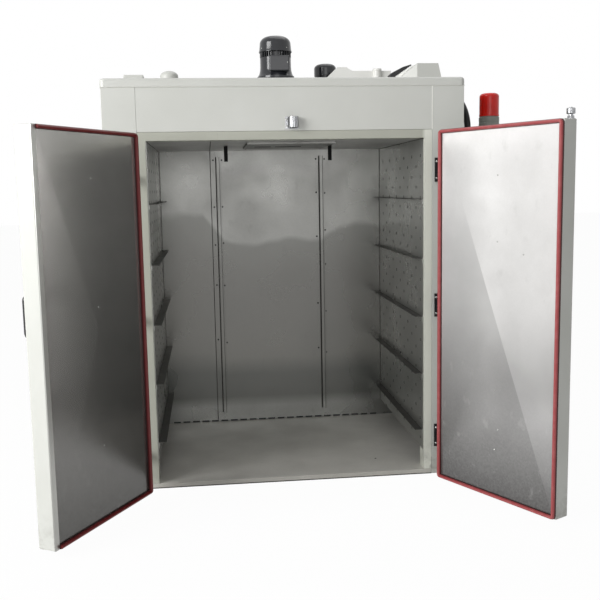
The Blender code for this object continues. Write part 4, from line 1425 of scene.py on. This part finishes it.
    def _hinges(self) -> None:
        """The cast hinge leaves with eased edges, their screws, and the fixed halves."""
        word, plate = self.side.word, self.hinge_plate
        aside, above = self.hinge_screw_inset
        fixed, moving, head = Workpiece(), Workpiece(), self.hinge_screw
        for count in range(1, self.hinges + 1):
            bracket, leaf = f"{word}_hinge_bracket_{count}", f"{word}_hinge_leaf_{count}"
            halves = ((bracket, "fixed", Body.OVEN), (leaf, "moving", self.side.body))
            for node, name, body in halves:
                piece = Workpiece().from_node(node, self.hinge_edge, 2, 40.0)
                piece.finish(f"{word}_{name}_hinge_{count}", Finishes.CASTING, [node], body)
            low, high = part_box(bracket)
            head.drive(fixed, [
                (x, high.y - plate, height) for height in (low.z + above, high.z - above)
                for x in (low.x + aside, high.x - aside)
            ], TO_FRONT)
            low, high = self._span(leaf)
            head.drive(moving, [
                self.place @ Vector((high.x - plate, high.y - depth, height))
                for height in (low.z + above, high.z - above) for depth in self.leaf_screw_depths
            ], self._facing((-1, 0, 0)))
        fixed.finish(word + "_fixed_hinge_screws", Finishes.ZINC)
        moving.finish(word + "_moving_hinge_screws", Finishes.ZINC, body=self.side.body)

    def _latch(self) -> None:
        """The chromed roller on its nut, on top of the door."""
        low, high = self._span("right_door_latch")
        place = self.place @ Matrix.Translation(axis_of(low, high) + Vector((0, 0, low.z)))
        radius, tall = (high.x - low.x) / 2, high.z - low.z
        round_edge = 0.005
        profile = [(0.0, tall), (radius * 0.34, tall), (radius * 0.36, tall - 0.002)]
        profile += arc((radius - round_edge, tall - 0.008), round_edge, 90, 0, 4)
        profile += arc((radius - round_edge, 0.026), round_edge, 0, -90, 4)
        profile += [(radius * 0.5, 0.021), (radius * 0.5, 0.014), (0.0, 0.014)]
        nut = arc((0, 0), radius * 0.86, 0, 300, 5)
        washer = [(0, 0.003), (radius, 0.003), (radius, 0.0), (0, 0.0)]
        piece = Workpiece().lathe(profile, 32, place).prism(nut, 0.003, 0.0145, 0.0010, place)
        piece.lathe(washer, 28, place)
        piece.finish("latch_roller", Finishes.CHROME, ["right_door_latch"], Body.RIGHT)


@dataclass
class Keeper:
    """The chromed catch in the middle of the header that the latch roller rides into."""

    plate: float = 0.004
    plate_edge: float = 0.0010
    barrel_inset: float = 0.016
    barrel_edge: float = 0.0012
    barrel_z: Spot = (0.005, -0.001)
    barrel_gap: float = 0.003
    wall: float = 0.006
    bore_z: Spot = (0.0042, 0.0052)
    screw: PanScrew = PanScrew(0.0052, 0.0030, 0.0022, 14)
    screw_inset: Spot = (0.0072, 0.014)

    def build(self) -> None:
        """Builds the plate, its barrel and two screws."""
        low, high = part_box("door_keeper")
        left, front = low.x + self.barrel_inset, high.y - self.plate
        radius = (high.x - left) / 2
        centre = Matrix.Translation((left + radius, low.y + radius, 0.0))
        back = high.y - low.y - radius - self.barrel_gap
        barrel = arc((0, 0), radius, 0, -180, 20) + [(-radius, back), (radius, back)]
        bottom, top = low.z + self.barrel_z[0], high.z + self.barrel_z[1]
        piece = Workpiece().block((low.x, front, low.z), high, self.plate_edge)
        piece.prism(barrel, bottom, top, self.barrel_edge, centre)
        piece.finish("keeper_body", Finishes.CHROME, ["door_keeper"])
        # Black painted shade inside the barrel's bore and in a thin strip beside the barrel.
        bore = arc((0, 0), radius - self.wall, 0, 360, 24)[:-1]
        bottom, top = (low.z + rise for rise in self.bore_z)
        shade = Workpiece().prism(bore, bottom, top, 0.0, centre)
        shade.block((left - 0.0022, front - 0.0012, low.z + 0.002),
                    (left - 0.0002, front + 0.0002, high.z - 0.002))
        shade.finish("keeper_bore", Finishes.SHADOW, slot=Slot.CHROME)
        screws = Workpiece()
        aside, above = self.screw_inset
        spots = [(low.x + aside, front, height) for height in (low.z + above, high.z - above)]
        self.screw.drive(screws, spots, TO_FRONT)
        screws.finish("keeper_screws", Finishes.ZINC)


@dataclass
class RoofPlant:
    """What stands on the roof: two motors, the exhaust duct, the intake hood and two vents."""

    fins: int = 36
    fan_body: Profile = (
        (0.0, 0.230), (0.080, 0.230), (0.080, 0.199), (0.090, 0.198), (0.093, 0.194),
        (0.093, 0.142), (0.0945, 0.122), (0.0985, 0.104), (0.1045, 0.091), (0.1110, 0.084),
        (0.1120, 0.0825), (0.1120, 0.0715), (0.1105, 0.070), (0.086, 0.070), (0.085, 0.068),
        (0.085, 0.0), (0.0, 0.0),
    )
    fan_fin: tuple[Point, Point] = ((0.078, -0.0020, 0.196), (0.0935, 0.0020, 0.229))
    cowl_eye: Profile = ((0.0, -0.0012), (0.026, -0.0010), (0.028, 0.0))
    cowl_skirt: Profile = (
        (0.0965, 0.238), (0.0995, 0.232), (0.0995, 0.227), (0.0985, 0.226), (0.0955, 0.226),
        (0.0950, 0.230))
    cowl_lid: float = 0.050
    screw: PanScrew = PanScrew(0.0034, 0.0020)
    cowl_screws: tuple[int, ...] = (-50, -152, 130, 30)
    cowl_screw_at: Spot = (0.0962, 0.246)
    box_x: Spot = (-0.046, 0.074)
    box_y: Spot = (-0.112, -0.040)
    box_z: Spot = (0.106, 0.198)
    box_edge: float = 0.0080
    box_screw: PanScrew = PanScrew(0.0034, 0.0014)
    box_screw_inset: Spot = (0.012, 0.050)
    exhaust_eye: Profile = ((0.0, -0.002), (0.018, -0.002), (0.0195, 0.0))
    exhaust_waist: Profile = (
        (0.0700, -0.070), (0.0705, -0.073), (0.0670, -0.075), (0.0660, -0.092), (0.0690, -0.094))
    exhaust_foot: Profile = (
        (0.0690, 0.013), (0.0755, 0.012), (0.0760, 0.010), (0.0760, 0.0), (0.0, 0.0))
    exhaust_screws: tuple[int, ...] = (20, 160)
    exhaust_screw_at: Spot = (0.0698, -0.052)
    collar_place: Point = (0.624, -0.022, 0.1297)
    collar: Profile = (
        (0.0, 0.0008), (0.019, 0.0008), (0.0225, 0.0030), (0.0255, 0.0030), (0.0275, 0.0008),
        (0.0275, -0.010), (0.0255, -0.0115), (0.024, -0.0115), (0.0, -0.0115))
    hood_front: float = 0.118
    cheek_ramp: Profile = ((0.0345, 0.0006), (0.0345, 0.0555), (0.072, 0.080))
    cheek_ends: Spot = (0.136, 0.165)
    cheek_rise: float = 0.004
    mouth: Profile = (
        (0.005, 0.0006), (0.005, 0.067), (0.022, 0.081), (0.080, 0.110), (0.128, 0.1245),
        (0.134, 0.1205), (0.0715, 0.0805), (0.034, 0.056), (0.034, 0.0006))
    sheet_fold: float = 0.0016

    def build(self) -> None:
        """Builds everything on the roof."""
        self._fan_motor()
        self._exhaust_motor()
        self._duct()
        self._hood()
        self._vents()

    def _fan_motor(self) -> None:
        """The circulation fan's motor with its cowl, fins, terminal box and screws."""
        low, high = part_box("fan_motor")
        centre = Vector(((low.x + high.x) / 2, high.y - (high.x - low.x) / 2, 0.0))
        base, top = low.z, high.z
        place = Matrix.Translation(centre)
        stand = Matrix.Translation(centre + Vector((0, 0, base)))
        piece = Workpiece().lathe(self.fan_body, 64, stand)
        for fin in range(self.fins):
            turn = Matrix.Rotation(2 * math.pi * fin / self.fins, 4, "Z")
            piece.block(*self.fan_fin, 0.0007, 1, stand @ turn)
        piece.finish("fan_motor_body", Finishes.MOTOR, ["fan_motor"])
        Workpiece().lathe([
            *moved(self.cowl_eye, top), *arc((0.037, top - 0.044), (0.056, 0.044), 90, 0, 12),
            *moved(self.cowl_skirt, base), (0.0900, top - self.cowl_lid), (0.0, top - self.cowl_lid),
        ], 64, place).finish("fan_cowl", Finishes.MOTOR)
        self._terminal_box(centre + Vector((0, 0, base)))
        reach, rise = self.cowl_screw_at
        self._screws("fan_motor_screws", centre + UP * (base + rise), reach, self.cowl_screws)

    def _screws(self, name: str, middle: Vector, reach: float, angles: Sequence[int]) -> None:
        """Sets screws round an upright motor.

        Args:
            name: the name of the piece that they make.
            middle: the point of the motor's axis at their height.
            reach: how far from it they sit.
            angles: where they sit round it, in degrees.
        """
        screws = Workpiece()
        for angle in angles:
            outward = spoke(angle)
            self.screw.drive(screws, [middle + outward * reach], outward)
        screws.finish(name, Finishes.ZINC, slot=Slot.MOTOR)

    def _terminal_box(self, foot: Vector) -> None:
        """The terminal box in front of the motor, with its lid screw.

        Args:
            foot: the middle of the motor's foot.
        """
        (left, right), (bottom, top) = self.box_x, self.box_z
        front, back = (foot.y + depth for depth in self.box_y)
        box, screws = Workpiece(), Workpiece()
        box.block((left, front, foot.z + bottom), (right, back, foot.z + top), self.box_edge, 4)
        box.finish("terminal_box", Finishes.MOTOR)
        aside, above = self.box_screw_inset
        spot = (right - aside, front, foot.z + bottom + above)
        self.box_screw.drive(screws, [spot], TO_FRONT)
        screws.finish("terminal_box_screw", Finishes.ZINC, slot=Slot.MOTOR)

    def _exhaust_motor(self) -> None:
        """The smaller motor behind the duct."""
        low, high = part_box("exhaust_motor")
        centre, top = axis_of(low, high), high.z
        Workpiece().lathe([
            *moved(self.exhaust_eye, top), *arc((0.034, top - 0.028), (0.036, 0.028), 90, 0, 8),
            *moved(self.exhaust_waist, top), *moved(self.exhaust_foot, low.z),
        ], 48, Matrix.Translation(centre)).finish(
            "exhaust_motor_body", Finishes.MOTOR, ["exhaust_motor"])
        reach, rise = self.exhaust_screw_at
        self._screws("exhaust_motor_screws", centre + UP * (top + rise), reach, self.exhaust_screws)

    def _duct(self) -> None:
        """The pale mitred exhaust duct and the collar beside it."""
        duct = Workpiece().from_node("exhaust_blower", self.sheet_fold, 2, 40.0)
        duct.finish("exhaust_duct", Finishes.DUCTWORK, ["exhaust_blower"])
        x, y, rise = self.collar_place
        place = Matrix.Translation((x, y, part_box("exhaust_blower")[0].z + rise))
        Workpiece().lathe(self.collar, 36, place).finish("collar_ring", Finishes.DUCTWORK)

    def _hood(self) -> None:
        """The intake hood: a mitred sheet box with a pale cheek, painted light, and a black mouth on
        its slope, painted shade.
        """
        low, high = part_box("intake_hood")
        box = Workpiece().from_node("intake_hood", self.sheet_fold, 2, 40.0)
        box.finish("hood_sheet", Finishes.PAINT, ["intake_hood"])
        lay = Matrix.Translation((0, high.y, 0)) @ Matrix.Rotation(math.pi / 2, 4, "X")
        front = high.y - low.y - self.hood_front
        crest, foot = high.z - low.z + self.cheek_rise, self.cheek_ramp[0][1]
        start, end = self.cheek_ends
        cheek = moved((*self.cheek_ramp, (start, crest), (end, crest), (end, foot)), low.z, low.x)
        Workpiece().prism(cheek, 0.002, front - 0.002, 0.0012, lay, 1).finish(
            "hood_cheek", Finishes.CHEEK)
        # The mouth's black is painted shade of the opening.
        mouth = moved(self.mouth, low.z, low.x)
        Workpiece().prism(mouth, 0.004, front, 0.0010, lay, 1).finish(
            "hood_mouth", Finishes.SHADOW, slot=Slot.PAINT)

    def _vents(self) -> None:
        """The flat vent box and the low dome at the left."""
        box = Workpiece().from_node("roof_vent_box", 0.0010, 1, 40.0)
        box.finish("vent_box_sheet", Finishes.PAINT, ["roof_vent_box"])
        low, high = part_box("roof_vent_dome")
        radius = (high.x - low.x) / 2
        rise = radius * 0.6
        profile = arc((0, high.z - rise), (radius, rise), 90, 0, 12)
        profile += [(radius, low.z + 0.004), (radius - 0.002, low.z), (0.0, low.z)]
        dome = Workpiece().lathe(profile, 48, Matrix.Translation(axis_of(low, high)))
        dome.finish("vent_dome_cap", Finishes.PAINT, ["roof_vent_dome"])


@dataclass
class ControlSide:
    """The control cabinet on the right wall, its beacon and the conduit that feeds it."""

    sheet_fold: float = 0.0016
    base_head: Profile = (
        (-0.004, 0.0), (-0.003, -0.004), (0.0, -0.006), (0.0, -0.030), (-0.0018, -0.032),
        (-0.0018, -0.035), (0.0, -0.037))
    base_foot: Profile = ((0.0, 0.004), (-0.002, 0.0))
    lens_crown: float = 0.023
    lens_ridge: float = 0.0012
    lens_foot: Profile = ((-0.0012, 0.010), (0.0, 0.008), (0.0, 0.001), (-0.001, 0.0))
    conduit_lead: float = 0.015
    conduit_rings: int = 90
    ring_depth: float = 0.0022
    nut_size: float = 1.24
    nut_height: float = 0.011

    def build(self) -> None:
        """Builds the cabinet, beacon and conduit."""
        for node in ("control_cabinet", "cabinet_door"):
            sheet = Workpiece().from_node(node, self.sheet_fold, 2, 40.0)
            sheet.finish(node + "_sheet", Finishes.PAINT, [node])
        self._beacon()
        self._conduit()

    def _beacon(self) -> None:
        """The warning lamp: a grey base and a plain red lens."""
        low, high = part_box("beacon_base")
        centre = Matrix.Translation(axis_of(low, high))
        radius = (high.x - low.x) / 2
        Workpiece().lathe([
            (0.0, high.z), *moved(self.base_head, high.z, radius),
            *moved(self.base_foot, low.z, radius), (0.0, low.z),
        ], 56, centre).finish("beacon_foot", Finishes.HOUSING, ["beacon_base"])
        low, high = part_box("beacon_dome")
        radius, crown = (high.x - low.x) / 2, self.lens_crown
        reach = (crown - self.lens_ridge, 0.0195)
        Workpiece().lathe([
            (0.0, high.z), (radius * 0.4, high.z - 0.0006),
            *arc((radius - crown, high.z - 0.021), reach, 80, 0, 8),
            *moved(self.lens_foot, low.z, radius), (0.0, low.z),
        ], 60, centre).finish("beacon_lens_cap", Finishes.LENS, ["beacon_dome"])

    def _conduit(self) -> None:
        """The ribbed conduit from the wall to the cabinet's top, with a nut at each end."""
        low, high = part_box("cable_conduit")
        radius, lead = (high.y - low.y) / 2, self.conduit_lead
        start = Vector((low.x, (low.y + high.y) / 2, high.z - radius))
        end = Vector((high.x - radius, start.y, low.z))
        reach = (end.x - start.x - lead, start.z - end.z - lead)
        bend = arc((start.x + lead, end.z + lead), reach, 90, 0, self.conduit_rings)
        line = [start, *(Vector((x, start.y, z)) for x, z in bend), end]
        rings = [arc((0, 0), r, 0, 360, 20)[:-1] for r in (radius - self.ring_depth, radius)]
        piece = Workpiece().sweep(line, lambda step: rings[step % 2], -TO_FRONT)
        piece.finish("feed_conduit", Finishes.CONDUIT, ["cable_conduit"])
        hexagon = arc((0, 0), radius * self.nut_size, 0, 300, 5)
        nuts = Workpiece()
        for place, facing in ((start, Vector((1, 0, 0))), (end, UP)):
            nuts.prism(hexagon, 0.0, self.nut_height, 0.0012, standing(place, facing))
        nuts.finish("conduit_nuts", Finishes.HOUSING)


@dataclass
class Studio:
    """The pale floor, the soft lamps and the camera."""

    camera_place: Point = (-0.4394, -5.2078, 1.6359)
    yaw: float = 6.19
    pitch: float = -7.59
    roll: float = -0.0185
    lens_mm: float = 50.21
    sensor_mm: float = 36.0
    floor_reach: float = 40.0
    floor_drop: float = 0.0006
    whiteness: float = 0.97
    sky: float = 0.24
    lamps: tuple[tuple[Point, Point, float, float], ...] = (
        ((-6.2, -4.6, 3.6), (0.0, -0.4, 1.1), 4.2, 560.0),
        ((0.2, -8.0, 2.9), (0.0, -0.4, 2.6), 3.6, 58.0),
        ((1.0, 0.5, 6.5), (0.0, -0.4, 1.1), 4.5, 80.0),
    )

    def build(self) -> None:
        """Sets up the stage."""
        self._floor()
        self._world()
        self._lights()
        self._camera()
        bpy.context.scene.view_settings.view_transform = "Standard"

    @staticmethod
    def _seen(tree: bpy.types.NodeTree) -> Socket:
        """One where a ray comes straight from the camera, a mirror or glass, and else zero.

        Args:
            tree: the node tree that asks.

        Returns:
            That share.
        """
        rays = add_node(tree, "LightPath").node.outputs
        seen = rays["Is Camera Ray"]
        for other in ("Is Glossy Ray", "Is Transmission Ray"):
            seen = add_node(tree, "Math", (seen, rays[other]), operation="MAXIMUM")
        return seen

    def _floor(self) -> None:
        """A pale floor that shows nearly white and keeps the oven's shadow."""
        shape = bmesh.new()
        bmesh.ops.create_grid(shape, x_segments=1, y_segments=1, size=self.floor_reach)
        bmesh.ops.translate(shape, verts=shape.verts, vec=(0, 0, -self.floor_drop))
        data = bpy.data.meshes.new("floor")
        shape.to_mesh(data)
        shape.free()
        floor = bpy.data.objects.new("floor", data)
        bpy.context.scene.collection.objects.link(floor)
        material = bpy.data.materials.new("pale_floor")
        material.use_nodes = True
        tree = material.node_tree
        tree.nodes.clear()
        matt = add_node(tree, "BsdfDiffuse", {"Color": "#EDEDEB"})
        white = add_node(tree, "Emission", {"Color": "#FFFFFF", "Strength": 1.0})
        share = add_node(tree, "Math", (self._seen(tree), self.whiteness), operation="MULTIPLY")
        add_node(tree, "OutputMaterial", (add_node(tree, "MixShader", (share, matt, white)),))
        data.materials.append(material)

    def _world(self) -> None:
        """White where it is seen or mirrored, and a soft sky for the light."""
        world = bpy.data.worlds.new("studio")
        bpy.context.scene.world = world
        world.use_nodes = True
        tree = world.node_tree
        tree.nodes.clear()
        soft, white = (
            add_node(tree, "Background", {"Color": "#FFFFFF", "Strength": strength})
            for strength in (self.sky, 1.0))
        mixed = add_node(tree, "MixShader", (self._seen(tree), soft, white))
        add_node(tree, "OutputWorld", (mixed,))

    def _lights(self) -> None:
        """Large soft lamps that all look at the oven."""
        for count, (place, aim, size, power) in enumerate(self.lamps, start=1):
            data = bpy.data.lights.new(f"soft_lamp_{count}", "AREA")
            data.shape = "SQUARE"
            data.size = size
            data.energy = power
            lamp = bpy.data.objects.new(f"soft_lamp_{count}", data)
            look = (Vector(aim) - Vector(place)).to_track_quat("-Z", "Y")
            lamp.matrix_world = Matrix.Translation(Vector(place)) @ look.to_matrix().to_4x4()
            bpy.context.scene.collection.objects.link(lamp)

    def _camera(self) -> None:
        """The camera where the photograph was taken from."""
        yaw, pitch = math.radians(self.yaw), math.radians(self.pitch)
        ahead = Vector((
            math.sin(yaw) * math.cos(pitch), math.cos(yaw) * math.cos(pitch), math.sin(pitch)))
        level = Vector((math.cos(yaw), -math.sin(yaw), 0.0))
        upright = level.cross(ahead)
        across = level * math.cos(self.roll) + upright * math.sin(self.roll)
        rise = upright * math.cos(self.roll) - level * math.sin(self.roll)
        data = bpy.data.cameras.new("photo_camera")
        data.lens = self.lens_mm
        data.sensor_width = self.sensor_mm
        data.sensor_fit = "AUTO"
        camera = bpy.data.objects.new("photo_camera", data)
        turn = Matrix((across, rise, -ahead)).transposed().to_4x4()
        camera.matrix_world = Matrix.Translation(Vector(self.camera_place)) @ turn
        bpy.context.scene.collection.objects.link(camera)
        bpy.context.scene.camera = camera


def main() -> None:
    """Builds every sub-assembly in order."""
    logging.basicConfig(level=logging.INFO, format="%(message)s")
    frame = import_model()
    cad_nodes.update(frame["nodes"])
    cad_joints.extend(frame["joints"])
    for assembly in (Shell(), Chamber(), DoorLeaf(Side.LEFT), DoorLeaf(Side.RIGHT), Keeper(),
                     RoofPlant(), ControlSide(), Studio()):
        assembly.build()
    LOG.info("all pieces are built")


if __name__ == "__main__":
    main()
